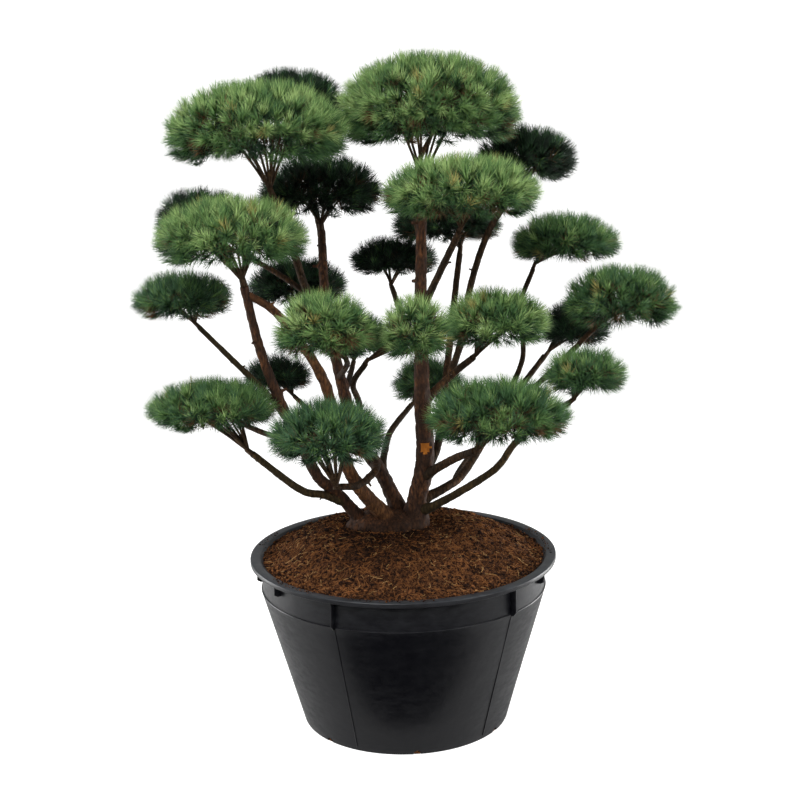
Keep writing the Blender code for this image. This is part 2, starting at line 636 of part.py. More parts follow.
def make_pad(pad, planned, rng):
    route, radii = planned[pad.carrier]
    heading = (route[-1] - route[-2]).normalized()
    foot = route[-1] + heading * GAP
    hub = foot + heading * STEM_LENGTH
    body = to_object(core(pad, rng), pad.name)
    others = helpers()
    to_object(tube([foot, hub], [radii[-1], STEM_TAPER * radii[-1]], BOUGH_SIDES), "stem", others)
    inner = hub - heading * STEM_LENGTH / 3
    twigs = FEW_TWIGS if pad.half[0] < WIDE_PAD else MANY_TWIGS
    for k in range(twigs):
        azimuth = math.tau * (k + rng.uniform(-TWIG_JITTER, TWIG_JITTER)) / twigs
        reach = Vector((math.cos(azimuth), math.sin(azimuth), TWIG_RISE))
        end = envelope(pad, reach, TWIG_REACH)
        if not near_limb([inner.lerp(end, 0.4), inner.lerp(end, 0.7)], planned):
            to_object(tube([inner, end], [TWIG_RADIUS, TWIG_TAPER * TWIG_RADIUS], 3), "twig", others)
    for direction in spray_directions(pad, rng):
        root = envelope(pad, direction, SPRAY_ROOT)
        tip = envelope(pad, direction)
        across = direction.cross(Vector((rng.uniform(-1, 1), rng.uniform(-1, 1), rng.uniform(-1, 1))))
        corners = [tip, root.lerp(tip, 0.7) + across.normalized() * SPRAY_WIDTH / 2,
                   root.lerp(tip, 0.7) - across.normalized() * SPRAY_WIDTH / 2]
        crowded = any(depth_in(other, point) < 1.0 for other in PADS if other is not pad
                      for point in corners)
        if not crowded and not near_limb(corners, planned):
            spray(root, tip, across, others)
    combine(body, others, "UNION")
    keep_largest(body)
    finish(body, "needles_" + pad.tone, smooth=False)


def main():
    clear_scene()
    make_pot()
    make_mulch()
    planned = plan_limbs()
    make_limbs(planned)
    rng = random.Random(SEED)
    for pad in PADS:
        make_pad(pad, planned, rng)


main()
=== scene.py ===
import json
import math
import random
from collections import namedtuple

import bmesh
import bpy
import numpy as np
from mathutils import Matrix, Vector, noise

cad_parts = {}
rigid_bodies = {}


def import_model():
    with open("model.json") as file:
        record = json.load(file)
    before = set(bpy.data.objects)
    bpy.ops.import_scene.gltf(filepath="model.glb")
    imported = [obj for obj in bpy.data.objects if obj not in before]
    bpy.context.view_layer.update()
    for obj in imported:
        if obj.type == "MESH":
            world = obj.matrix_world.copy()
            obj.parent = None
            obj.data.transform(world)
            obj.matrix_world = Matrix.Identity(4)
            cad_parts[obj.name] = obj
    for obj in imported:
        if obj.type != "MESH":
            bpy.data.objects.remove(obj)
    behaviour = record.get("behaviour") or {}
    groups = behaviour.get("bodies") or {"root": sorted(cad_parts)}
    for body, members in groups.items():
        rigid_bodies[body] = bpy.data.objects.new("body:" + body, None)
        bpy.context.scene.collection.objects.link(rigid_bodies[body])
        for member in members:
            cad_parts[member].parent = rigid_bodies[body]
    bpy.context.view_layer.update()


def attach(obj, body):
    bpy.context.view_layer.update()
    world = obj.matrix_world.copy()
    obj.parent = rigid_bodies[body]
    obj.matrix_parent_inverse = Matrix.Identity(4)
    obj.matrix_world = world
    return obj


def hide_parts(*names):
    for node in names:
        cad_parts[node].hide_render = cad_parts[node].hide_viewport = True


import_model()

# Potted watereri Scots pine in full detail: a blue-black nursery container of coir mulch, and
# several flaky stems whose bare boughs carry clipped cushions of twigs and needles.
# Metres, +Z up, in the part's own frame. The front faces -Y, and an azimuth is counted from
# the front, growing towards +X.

bl_info = {
    "name": "Potted watereri pine",
    "version": (1, 0, 0),
    "blender": (4, 5, 0),
    "location": "View3D > Sidebar > Pine",
    "description": "Builds a cloud-pruned Scots pine in its nursery container",
    "category": "Object",
}

SEED = 4127
GOLDEN_ANGLE = math.pi * (3 - math.sqrt(5))
PIECE_LIMIT = 200000

# Container
LONG_GUSSETS = [math.radians(-27 + 72 * k) for k in range(5)]
SHORT_GUSSETS = [math.radians(a) for a in (-75, -56, 66, 85, 145, -145)]
LONG_GUSSET_HEIGHT = 0.084
SHORT_GUSSET_HEIGHT = 0.042
GUSSET_THICKNESS = 0.004
GUSSET_REACH = 0.020
SEAM_WIDTH = 0.0030
SEAM_PROUD = 0.0012
SEAM_FOOT = 0.012
DRAIN_NOTCHES = [math.radians(5.5 + 360 / 7 * k) for k in range(7)]
NOTCH_RADIUS = 0.009
FLANGE_HOLE_AZIMUTH = math.radians(84)
FLANGE_HOLE_RADIUS = 0.004
CUTTER_SEGMENTS = 24
DENT = 0.0012

# Mulch: it is level near the stool and heaped against the wall, and round the middle given below it
# is painted darker, as painted shade under the stems
MULCH_LEVEL_RADIUS = 0.150
MULCH_SEGMENTS, MULCH_RINGS = 190, 52
WALL_CLEARANCE = 0.0008
EDGE_HEAP, EDGE_HEAP_START = 0.013, 0.86
PAINTED_SHADE_MIDDLE = (-0.06, -0.04, 0.50)
GROUND = 0.5203
FIBRE_JOINTS = 4
FIBRE_COLOURS = {
    "fibre_brown": (0.120, 0.045, 0.016, 1),
    "fibre_orange": (0.300, 0.120, 0.040, 1),
    "fibre_dark": (0.020, 0.008, 0.004, 1),
    "fibre_straw": (0.520, 0.300, 0.120, 1),
}
FIBRE_ODDS = (0.32, 0.38, 0.24, 0.06)

# Stool from which all stems rise
STOOL_CENTRE = Vector((-0.040, 0.004, 0.515))
STOOL_HALF = Vector((0.108, 0.068, 0.046))
ROOT_FLARE = 1.5
FLARE_HEIGHT = 0.070

# Limbs. A limb without a parent starts in the stool, at its first bend; any other starts on
# its parent's axis, at the height leaves_at. thick and thin are the radii of its two ends.
Limb = namedtuple("Limb", "name parent leaves_at bends thick thin")
LIMBS = [
    Limb("trunk", None, None,
         [(0.026, 0.0, 0.490), (0.042, 0.0, 0.590), (0.062, -0.02, 0.716), (0.056, -0.03, 0.884),
          (0.059, 0.0, 1.161), (0.066, 0.01, 1.395)], 0.028, 0.011),
    Limb("stem_left", None, None,
         [(-0.100, 0.0, 0.525), (-0.170, -0.03, 0.619), (-0.224, -0.08, 0.695),
          (-0.322, -0.17, 0.970), (-0.365, -0.21, 1.180)], 0.016, 0.0105),
    Limb("stem_inner_left", None, None,
         [(-0.035, -0.01, 0.535), (-0.107, -0.07, 0.640), (-0.145, -0.11, 0.739),
          (-0.189, -0.13, 0.937), (-0.285, -0.18, 1.101), (-0.356, -0.205, 1.160)], 0.020, 0.009),
    Limb("stem_back_left", None, None,
         [(0.000, 0.03, 0.535), (-0.059, 0.02, 0.666), (-0.119, 0.04, 0.766),
          (-0.183, 0.09, 1.050), (-0.198, 0.17, 1.275)], 0.020, 0.0105),
    Limb("bough_top_left", "stem_back_left", 1.065,
         [(-0.231, 0.06, 1.126), (-0.260, -0.02, 1.245), (-0.298, -0.12, 1.390)], 0.0105, 0.009),
    Limb("bough_top_back", "stem_back_left", 1.190,
         [(-0.205, 0.26, 1.262), (-0.240, 0.395, 1.380), (-0.272, 0.395, 1.530)], 0.009, 0.0075),
    Limb("bough_upper_left_back", "bough_top_left", 1.120,
         [(-0.330, 0.10, 1.185), (-0.446, 0.12, 1.245)], 0.0075, 0.006),
    Limb("bough_mid_left", "stem_left", 0.840,
         [(-0.344, -0.06, 0.898), (-0.401, -0.05, 0.955), (-0.500, -0.05, 1.060)], 0.009, 0.0065),
    Limb("bough_low_left", "stem_left", 0.590,
         [(-0.203, -0.05, 0.618), (-0.259, -0.09, 0.645), (-0.369, -0.14, 0.752)], 0.011, 0.0085),
    Limb("bough_low_front_left", "stem_back_left", 0.680,
         [(-0.068, -0.07, 0.682), (-0.108, -0.14, 0.667), (-0.150, -0.175, 0.673)], 0.010, 0.009),
    Limb("bough_front_centre", "stem_back_left", 0.715,
         [(-0.100, -0.12, 0.865), (-0.112, -0.22, 0.941), (-0.080, -0.275, 1.000)], 0.009, 0.007),
    Limb("bough_front_left", "stem_back_left", 0.905,
         [(-0.130, -0.10, 0.965), (-0.125, -0.27, 1.010)], 0.008, 0.0065),
    Limb("bough_low_back", "stem_back_left", 0.655,
         [(-0.042, 0.06, 0.705), (-0.026, 0.12, 0.742), (0.030, 0.20, 0.795)], 0.0095, 0.0075),
    Limb("bough_front_right", "trunk", 0.850,
         [(0.103, 0.0, 0.887), (0.145, 0.0, 0.925), (0.185, -0.07, 0.972)], 0.0105, 0.0085),
    Limb("bough_low_front_right", "trunk", 0.650,
         [(0.133, -0.10, 0.719), (0.180, -0.20, 0.764)], 0.012, 0.0095),
    Limb("bough_mid_back_right", "trunk", 0.580,
         [(0.116, 0.03, 0.609), (0.171, 0.08, 0.641), (0.268, 0.15, 0.773), (0.395, 0.22, 0.920)],
         0.012, 0.0075),
    Limb("bough_low_right", "trunk", 0.560,
         [(0.085, -0.03, 0.578), (0.231, -0.10, 0.686), (0.293, -0.12, 0.769),
          (0.412, -0.18, 0.876)], 0.011, 0.0075),
    Limb("bough_mid_right", "bough_mid_back_right", 0.770,
         [(0.364, 0.04, 0.884), (0.490, -0.08, 1.045)], 0.008, 0.0065),
    Limb("bough_upper_right", "bough_mid_back_right", 0.710,
         [(0.311, 0.08, 0.904), (0.323, 0.07, 0.985), (0.312, 0.05, 1.080), (0.345, 0.03, 1.180)],
         0.008, 0.006),
    Limb("bough_upper_front", "trunk", 1.085,
         [(0.080, -0.04, 1.133), (0.150, -0.155, 1.295)], 0.010, 0.008),
    Limb("bough_upper_back", "trunk", 0.655,
         [(0.097, 0.05, 0.720), (0.125, 0.12, 0.900), (0.154, 0.17, 1.122), (0.166, 0.19, 1.205)],
         0.011, 0.008),
    Limb("bough_top_right", "bough_front_right", 0.910,
         [(0.169, 0.05, 1.021), (0.186, 0.05, 1.135), (0.235, 0.04, 1.280), (0.310, 0.13, 1.370)],
         0.0095, 0.008),
    Limb("bough_mid_back", "trunk", 0.990,
         [(0.010, 0.15, 1.050), (-0.016, 0.30, 1.105)], 0.009, 0.007),
    Limb("bough_mid_back_left", "stem_back_left", 0.970,
         [(-0.230, 0.16, 1.015), (-0.275, 0.24, 1.040)], 0.008, 0.0065),
    Limb("bough_low_back_left", "stem_inner_left", 0.790,
         [(-0.200, 0.0, 0.800), (-0.250, 0.12, 0.812), (-0.285, 0.185, 0.828)], 0.008, 0.006),
    Limb("bough_rear_centre", "stem_back_left", 0.860,
         [(-0.135, 0.25, 0.872), (-0.130, 0.40, 0.880)], 0.009, 0.007),
    Limb("bough_rear_left", "stem_back_left", 0.705,
         [(-0.200, 0.17, 0.695), (-0.350, 0.26, 0.700), (-0.455, 0.32, 0.728)], 0.010, 0.0075),
    Limb("bough_rear_right", "bough_mid_back_right", 0.618,
         [(0.165, 0.16, 0.628), (0.215, 0.30, 0.648)], 0.010, 0.0075),
    Limb("bough_rear_top", "trunk", 1.250,
         [(0.050, 0.10, 1.330), (0.060, 0.30, 1.430), (0.095, 0.38, 1.500)], 0.0095, 0.007),
]
PALER_LIMBS = ("stem_inner_left", "bough_low_left", "bough_low_right", "bough_mid_left")
WOUND = Vector((0.062, -0.048, 0.735))
WOUND_SIZE = 0.019
CURVE_STEPS = 12
COLLAR_LIMIT = 0.92

# Bark: its cracks, its plates and the patches where it has flaked
BARKS = {
    "trunk_bark": ((0.014, 0.006, 0.003, 1), (0.095, 0.037, 0.014, 1), (0.220, 0.080, 0.024, 1)),
    "orange_bark": ((0.036, 0.014, 0.005, 1), (0.180, 0.070, 0.022, 1), (0.340, 0.145, 0.045, 1)),
    "young_bark": ((0.012, 0.007, 0.003, 1), (0.060, 0.031, 0.012, 1), (0.140, 0.062, 0.021, 1)),
    "olive_bark": ((0.018, 0.012, 0.005, 1), (0.072, 0.047, 0.017, 1), (0.135, 0.080, 0.027, 1)),
    "wound_wood": ((0.300, 0.095, 0.014, 1), (0.600, 0.220, 0.035, 1), (0.720, 0.330, 0.070, 1)),
    "twig_bark": ((0.030, 0.017, 0.009, 1), (0.085, 0.050, 0.024, 1), (0.150, 0.085, 0.036, 1)),
}

# Cushions of needles: the limb that carries each, its middle, its half width, depth and height to
# the tips of the needles, and its tone,
# which is partly painted light: 'light' cushions at the top and front are painted lit, and 'deep'
# ones at the back carry painted shade
Pad = namedtuple("Pad", "name carrier centre half tone")
PADS = [
    Pad("pad_top", "trunk", (0.083, 0.02, 1.610), (0.242, 0.215, 0.124), "light"),
    Pad("pad_top_left", "bough_top_left", (-0.326, -0.15, 1.564), (0.226, 0.190, 0.108), "light"),
    Pad("pad_top_back", "bough_top_back", (-0.280, 0.38, 1.630), (0.158, 0.142, 0.080), "deep"),
    Pad("pad_upper_back_left", "stem_back_left", (-0.200, 0.22, 1.393),
        (0.174, 0.148, 0.090), "deep"),
    Pad("pad_upper_left_back", "bough_upper_left_back", (-0.504, 0.10, 1.335),
        (0.128, 0.116, 0.075), "deep"),
    Pad("pad_upper_left", "stem_left", (-0.385, -0.25, 1.321), (0.191, 0.162, 0.090), "light"),
    Pad("pad_mid_left", "bough_mid_left", (-0.538, -0.05, 1.149), (0.135, 0.128, 0.066), "blue"),
    Pad("pad_mid_back_left", "bough_mid_back_left", (-0.274, 0.28, 1.135),
        (0.147, 0.132, 0.072), "deep"),
    Pad("pad_mid_back", "bough_mid_back", (-0.011, 0.34, 1.194), (0.130, 0.117, 0.060), "deep"),
    Pad("pad_upper_front", "bough_upper_front", (0.155, -0.22, 1.412),
        (0.196, 0.157, 0.084), "light"),
    Pad("pad_upper_back", "bough_upper_back", (0.134, 0.20, 1.301), (0.156, 0.120, 0.068), "deep"),
    Pad("pad_top_right", "bough_top_right", (0.340, 0.17, 1.468), (0.145, 0.131, 0.082), "deep"),
    Pad("pad_upper_right", "bough_upper_right", (0.426, 0.03, 1.264), (0.149, 0.134, 0.070), "mid"),
    Pad("pad_mid_right", "bough_mid_right", (0.546, -0.10, 1.129), (0.152, 0.137, 0.087), "mid"),
    Pad("pad_front_left", "bough_front_left", (-0.169, -0.38, 1.116),
        (0.128, 0.112, 0.085), "light"),
    Pad("pad_front_centre", "bough_front_centre", (0.040, -0.32, 1.095),
        (0.096, 0.092, 0.085), "light"),
    Pad("pad_front_right", "bough_front_right", (0.236, -0.14, 1.090),
        (0.144, 0.129, 0.079), "light"),
    Pad("pad_mid_back_right", "bough_mid_back_right", (0.478, 0.25, 1.006),
        (0.109, 0.120, 0.066), "deep"),
    Pad("pad_low_right", "bough_low_right", (0.448, -0.20, 0.965), (0.113, 0.108, 0.063), "mid"),
    Pad("pad_low_front_right", "bough_low_front_right", (0.225, -0.38, 0.913),
        (0.177, 0.141, 0.081), "mid"),
    Pad("pad_low_back", "bough_low_back", (0.079, 0.28, 0.856), (0.111, 0.111, 0.070), "blue"),
    Pad("pad_low_left", "bough_low_left", (-0.460, -0.17, 0.897), (0.170, 0.145, 0.066), "mid"),
    Pad("pad_low_front_left", "bough_low_front_left", (-0.167, -0.38, 0.872),
        (0.150, 0.135, 0.079), "blue"),
    Pad("pad_low_back_left", "bough_low_back_left", (-0.328, 0.20, 0.899),
        (0.103, 0.103, 0.054), "deep"),
    Pad("pad_rear_centre", "bough_rear_centre", (-0.135, 0.50, 0.950),
        (0.131, 0.125, 0.067), "mid"),
    Pad("pad_rear_left", "bough_rear_left", (-0.515, 0.34, 0.795), (0.136, 0.130, 0.060), "mid"),
    Pad("pad_rear_right", "bough_rear_right", (0.270, 0.42, 0.730), (0.140, 0.130, 0.065), "mid"),
    Pad("pad_rear_top", "bough_rear_top", (0.110, 0.43, 1.580), (0.150, 0.130, 0.075), "mid"),
]
# How far the widest level of a cushion lies under its middle, as a share of its half height, and
# the powers that dome it above and blunt it below
RIM_LEVEL = 0.30
TOP_FULLNESS, LOW_FULLNESS = 2.15, 3.4
STEM_LENGTH = 0.022
INNER_EVERY, INNER_DEPTH = 8, 0.74
NEEDLE_END = 1.045
LIMB_CLEARANCE = 0.014

# Needle colours, the paler one that some needles of a shoot take as a painted highlight, and how
# often a shoot of each tone takes each of them:
# on top, and beneath, where the darker colours are painted shade on the underside and the darker
# older needles low on every shoot
NEEDLE_COLOURS = {
    "lime": (0.300, 0.430, 0.150, 1),
    "light": (0.150, 0.265, 0.078, 1),
    "fresh": (0.082, 0.170, 0.050, 1),
    "mid": (0.042, 0.105, 0.036, 1),
    "blue": (0.046, 0.110, 0.050, 1),
    "dark": (0.011, 0.033, 0.014, 1),
    "deep": (0.004, 0.011, 0.005, 1),
    "yellow": (0.330, 0.290, 0.090, 1),
    "brown": (0.110, 0.055, 0.022, 1),
}
# Painted highlights: the paler colour that a share of the needles take in place of their own
HIGHLIGHT_TONE = {"light": "lime", "fresh": "light", "mid": "fresh", "blue": "light", "dark": "mid",
         "deep": "dark"}
HIGHLIGHT_SHARE = 0.20
TONES = {
    "light": {"lime": 0.20, "light": 0.42, "fresh": 0.26, "mid": 0.09, "yellow": 0.03},
    "mid": {"light": 0.14, "fresh": 0.34, "mid": 0.36, "blue": 0.14, "yellow": 0.02},
    "blue": {"fresh": 0.12, "mid": 0.28, "blue": 0.46, "dark": 0.14},
    "deep": {"blue": 0.12, "dark": 0.48, "deep": 0.40},
}
# Painted shade beneath the shoots, together with the darker older needles low on every shoot
SHADE_AND_OLD_TONES = {
    "light": {"fresh": 0.22, "mid": 0.40, "dark": 0.30, "brown": 0.08},
    "mid": {"mid": 0.40, "dark": 0.50, "brown": 0.10},
    "blue": {"blue": 0.35, "dark": 0.55, "brown": 0.10},
    "deep": {"dark": 0.25, "deep": 0.70, "brown": 0.05},
}

# Area lights: the place of each, its size, and its power as a share of the key light's
LIGHTS = {
    "key": ((-1.6, -3.2, 4.2), (2.6, 2.0), 1.0),
    "fill": ((3.4, -2.4, 2.4), (1.6, 2.2), 0.35),
    "edge_left": ((-2.3, 0.7, 0.45), (1.0, 0.8), 0.16),
    "edge_right": ((2.3, 0.9, 0.45), (1.0, 0.8), 0.26),
}
LIGHT_TARGET = Vector((0, 0, 0.5))

# Floor, backdrop, the cloth on the floor, and the camera
FLOOR_NEAR, FLOOR_FAR, FLOOR_BEND, FLOOR_DROP = -9.0, 4.5, 2.5, 0.0006
BACKDROP_TOP, BACKDROP_HALF_WIDTH = 12.0, 12.0
FLAG_PLACE, FLAG_HALF = (0.0, -1.08, 0.002), (1.0, 0.73, 1.0, 1.0)
CAMERA_PLACE, CAMERA_DIP, CAMERA_ROLL = (0.0, -3.5, 1.6056), 0.2120, -0.0199
CAMERA_LENS, SENSOR_WIDTH = 62.66, 36.0


class ContainerSettings(bpy.types.PropertyGroup):
    height: bpy.props.FloatProperty(
        name="Height", description="Height of the container to its rim", default=0.448,
        unit="LENGTH")
    rim_radius: bpy.props.FloatProperty(
        name="Rim radius", description="Outer radius of the flange", default=0.400, unit="LENGTH")
    rim_width: bpy.props.FloatProperty(
        name="Rim width", description="Width of the flat flange", default=0.027, unit="LENGTH")
    rim_thickness: bpy.props.FloatProperty(
        name="Rim thickness", description="Thickness of the flange", default=0.006, unit="LENGTH")
    rim_lip: bpy.props.FloatProperty(
        name="Rim lip", description="How far the flange is turned down", default=0.012,
        unit="LENGTH")
    band_height: bpy.props.FloatProperty(
        name="Band height", description="Height of the upright band under the rim", default=0.082,
        unit="LENGTH")
    band_radius: bpy.props.FloatProperty(
        name="Band radius", description="Outer radius of the band", default=0.371, unit="LENGTH")
    ledge: bpy.props.FloatProperty(
        name="Ledge", description="Step of the wall under the band", default=0.003, unit="LENGTH")
    foot_radius: bpy.props.FloatProperty(
        name="Foot radius", description="Outer radius of the underside", default=0.2725,
        unit="LENGTH")
    wall: bpy.props.FloatProperty(
        name="Wall", description="Thickness of the wall", default=0.0045, unit="LENGTH")
    floor: bpy.props.FloatProperty(
        name="Floor", description="Thickness of the floor", default=0.006, unit="LENGTH")
    segments: bpy.props.IntProperty(
        name="Segments", description="Steps of the turned wall", default=144, min=24)
    colour: bpy.props.FloatVectorProperty(
        name="Colour", description="Plastic where it is clean", default=(0.0028, 0.0028, 0.0046, 1),
        size=4, subtype="COLOR")
    worn_colour: bpy.props.FloatVectorProperty(
        name="Worn colour", description="Plastic where it is scuffed and dusty",
        default=(0.036, 0.040, 0.046, 1), size=4, subtype="COLOR")


class MulchSettings(bpy.types.PropertyGroup):
    edge: bpy.props.FloatProperty(
        name="Edge height", description="Height of the mulch at the wall", default=0.428,
        unit="LENGTH")
    top: bpy.props.FloatProperty(
        name="Top height", description="Height of the mulch round the stool", default=0.520,
        unit="LENGTH")
    relief: bpy.props.FloatProperty(
        name="Relief", description="Height of the crumbs", default=0.012, unit="LENGTH")
    fibres: bpy.props.IntProperty(
        name="Fibres", description="Loose coir fibres on the surface", default=5200, min=0)
    crumbs: bpy.props.IntProperty(
        name="Crumbs", description="Loose crumbs on the surface", default=7000, min=0)
    # The darker colour serves both the damp crumbs and the painted shade round the stool
    dark: bpy.props.FloatVectorProperty(
        name="Damp colour", description="Mulch where it is damp", default=(0.012, 0.005, 0.003, 1),
        size=4, subtype="COLOR")
    light: bpy.props.FloatVectorProperty(
        name="Dry colour", description="Mulch where it is dry", default=(0.330, 0.130, 0.045, 1),
        size=4, subtype="COLOR")


class LimbSettings(bpy.types.PropertyGroup):
    spacing: bpy.props.FloatProperty(
        name="Ring spacing", description="Distance between the rings of a limb", default=0.005,
        unit="LENGTH")
    stem_sides: bpy.props.IntProperty(
        name="Stem sides", description="Sides of a stem", default=26, min=5)
    bough_sides: bpy.props.IntProperty(
        name="Bough sides", description="Sides of a bough", default=14, min=5)
    plate_relief: bpy.props.FloatProperty(
        name="Plate relief", description="Depth of the bark's cracks, as a share of the radius",
        default=0.13, subtype="FACTOR")
    flare: bpy.props.FloatProperty(
        name="Collar", description="Swelling where a bough leaves its parent", default=0.45,
        subtype="FACTOR")


class CushionSettings(bpy.types.PropertyGroup):
    shoots_per_area: bpy.props.FloatProperty(
        name="Shoots per area", description="Shoots on each square metre of a cushion's plan",
        default=4300)
    needles_per_shoot: bpy.props.IntProperty(
        name="Needles per shoot", description="Needles on one shoot", default=31, min=4)
    needle_length: bpy.props.FloatProperty(
        name="Needle length", description="Length of a needle", default=0.043, unit="LENGTH")
    needle_width: bpy.props.FloatProperty(
        name="Needle width", description="Width of a needle at its root", default=0.0021,
        unit="LENGTH")
    rim_share: bpy.props.FloatProperty(
        name="Rim share", description="Share of the shoots that fringe the rim", default=0.36,
        subtype="FACTOR")
    low_share: bpy.props.FloatProperty(
        name="Low share", description="Share of the shoots on the underside", default=0.15,
        subtype="FACTOR")


class StageSettings(bpy.types.PropertyGroup):
    floor_colour: bpy.props.FloatVectorProperty(
        name="Floor colour", description="Colour of floor and backdrop",
        default=(0.72, 0.72, 0.715, 1), size=4, subtype="COLOR")
    floor_glow: bpy.props.FloatProperty(
        name="Floor glow", description="How far the floor washes out to the camera", default=0.72)
    sky: bpy.props.FloatProperty(
        name="Sky", description="Strength of the even light from all sides", default=0.48)
    key: bpy.props.FloatProperty(
        name="Key light", description="Power of the large light over the front", default=190.0,
        unit="POWER")


def at_azimuth(azimuth, radius, height):
    return Vector((radius * math.sin(azimuth), -radius * math.cos(azimuth), height))


def to_object(bm, name, materials=(), smooth_angle=40):
    """The bmesh as a new object of the scene, shaded smooth up to the angle."""
    mesh = bpy.data.meshes.new(name)
    bm.to_mesh(mesh)
    bm.free()
    obj = bpy.data.objects.new(name, mesh)
    bpy.context.scene.collection.objects.link(obj)
    for made in materials:
        mesh.materials.append(made)
    if smooth_angle:
        mesh.shade_smooth()
        mesh.set_sharp_from_angle(angle=math.radians(smooth_angle))
    return obj


def keep(obj, nodes=()):
    """Puts a finished piece on the part's body and in place of its nodes."""
    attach(obj, "root")
    if nodes:
        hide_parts(*nodes)
    return obj


# Materials

def add_node(tree, kind, inputs, output=0, **settings):
    """Output of a new node, whose inputs are sockets or plain values."""
    node = tree.nodes.new("ShaderNode" + kind)
    for name, value in settings.items():
        setattr(node, name, value)
    for name, value in inputs.items():
        if isinstance(value, bpy.types.NodeSocket):
            tree.links.new(value, node.inputs[name])
        else:
            node.inputs[name].default_value = value
    return node.outputs[output]


def noise_node(tree, vector, scale, detail=4.0, roughness=0.55):
    return add_node(tree, "TexNoise", {"Vector": vector, "Scale": scale, "Detail": detail,
                                       "Roughness": roughness}, "Fac")


def remap(tree, value, low, high, to_low=0.0, to_high=1.0):
    return add_node(tree, "MapRange", {"Value": value, "From Min": low, "From Max": high,
                                       "To Min": to_low, "To Max": to_high}, "Result")


def blend(tree, share, first, second):
    """Mix of two colours."""
    return add_node(tree, "Mix", {0: share, 6: first, 7: second}, 2, data_type="RGBA")


def math_node(tree, operation, first, second, clamp=True):
    return add_node(tree, "Math", {0: first, 1: second}, operation=operation, use_clamp=clamp)


def object_place(tree, stretch=(1.0, 1.0, 1.0)):
    place = add_node(tree, "TexCoord", {}, "Object")
    return add_node(tree, "Mapping", {"Vector": place, "Scale": stretch}, "Vector")


def bump(tree, height, strength, distance):
    return add_node(tree, "Bump", {"Height": height, "Strength": strength, "Distance": distance},
                    "Normal")


def open_group(name, colours):
    """New node group, the sockets of its inputs, and a function that closes it with its outputs."""
    group = bpy.data.node_groups.new(name, "ShaderNodeTree")
    for label in colours:
        kind = "NodeSocketColor" if label != "Rim height" else "NodeSocketFloat"
        group.interface.new_socket(name=label, in_out="INPUT", socket_type=kind)
    given = group.nodes.new("NodeGroupInput").outputs

    def close(**outputs):
        for label, kind in (("Colour", "Color"), ("Normal", "Vector"), ("Rough", "Float")):
            if label in outputs:
                group.interface.new_socket(name=label, in_out="OUTPUT",
                                           socket_type="NodeSocket" + kind)
        out = group.nodes.new("NodeGroupOutput")
        for label, socket in outputs.items():
            group.links.new(socket, out.inputs[label])
        return group

    return group, given, close


def bark_group():
    """Flaky bark: dark cracks between plates, with paler and warmer patches."""
    found = bpy.data.node_groups.get("flaky_bark")
    if found:
        return found
    group, given, close = open_group("flaky_bark", ("Crack", "Plate", "Patch"))
    along = object_place(group, (1.0, 1.0, 0.35))
    cells = add_node(group, "TexVoronoi", {"Vector": along, "Scale": 75.0}, "Distance",
                     feature="DISTANCE_TO_EDGE")
    edge = remap(group, cells, 0.02, 0.30)
    grain = noise_node(group, along, 190.0, 5.0, 0.65)
    patches = remap(group, noise_node(group, object_place(group), 14.0, 3.0), 0.44, 0.64)
    plate = blend(group, patches, given["Plate"], given["Patch"])
    worn = blend(group, remap(group, grain, 0.35, 0.72), given["Crack"], plate)
    height = math_node(group, "MULTIPLY", edge, grain)
    return close(Colour=blend(group, remap(group, edge, 0.0, 1.0, 0.35, 1.0), given["Crack"], worn),
                 Normal=bump(group, height, 0.9, 0.0025),
                 Rough=remap(group, grain, 0.2, 0.8, 0.95, 0.72))


def crumb_group():
    """Loose earthy stuff: mottled with darker damp crumbs, and painted darker round the stool as
    painted shade.
    """
    found = bpy.data.node_groups.get("crumbs")
    if found:
        return found
    group, given, close = open_group("crumbs", ("Damp", "Dry"))
    place = object_place(group)
    broad = remap(group, noise_node(group, place, 6.0, 3.0), 0.36, 0.60)
    fine = remap(group, noise_node(group, place, 150.0, 6.0, 0.7), 0.44, 0.59)
    # Painted shade: the mulch turns to its darker colour towards the middle under the stems
    shade_distance = add_node(group, "VectorMath", {0: place, 1: PAINTED_SHADE_MIDDLE}, "Value", operation="DISTANCE")
    share = math_node(group, "MULTIPLY", remap(group, broad, 0.0, 1.0, 0.55, 1.0), fine)
    share = math_node(group, "MULTIPLY", share, remap(group, shade_distance, 0.06, 0.27, 0.10, 1.0))
    return close(Colour=blend(group, share, given["Damp"], given["Dry"]),
                 Normal=bump(group, fine, 0.8, 0.004))


def plastic_group():
    """Moulded plastic: dust and scuffs that gather on the flange and thin out down the wall."""
    found = bpy.data.node_groups.get("scuffed_plastic")
    if found:
        return found
    group, given, close = open_group("scuffed_plastic", ("Clean", "Worn", "Rim height"))
    place = object_place(group)
    level = add_node(group, "SeparateXYZ", {0: place}, "Z")
    below = math_node(group, "SUBTRACT", given["Rim height"], level, clamp=False)
    on_rim = remap(group, below, 0.0035, 0.0005)
    on_band = remap(group, below, 0.110, 0.030, 0.05, 0.30)
    streaks = noise_node(group, object_place(group, (1, 1, 3.0)), 26.0, 8.0, 0.7)
    scuffs = remap(group, streaks, 0.40, 0.70)
    specks = remap(group, noise_node(group, place, 420.0, 2.0), 0.60, 0.78)
    worn = math_node(group, "MULTIPLY", on_band, scuffs)
    rubbed = math_node(group, "MULTIPLY", on_rim, remap(group, scuffs, 0.0, 1.0, 0.45, 0.95))
    worn = math_node(group, "ADD", worn, rubbed)
    worn = math_node(group, "ADD", worn, math_node(group, "MULTIPLY", specks, 0.10))
    return close(Colour=blend(group, worn, given["Clean"], given["Worn"]),
                 Normal=bump(group, noise_node(group, place, 9.0, 3.0), 0.12, 0.02),
                 Rough=remap(group, scuffs, 0.0, 1.0, 0.33, 0.50))


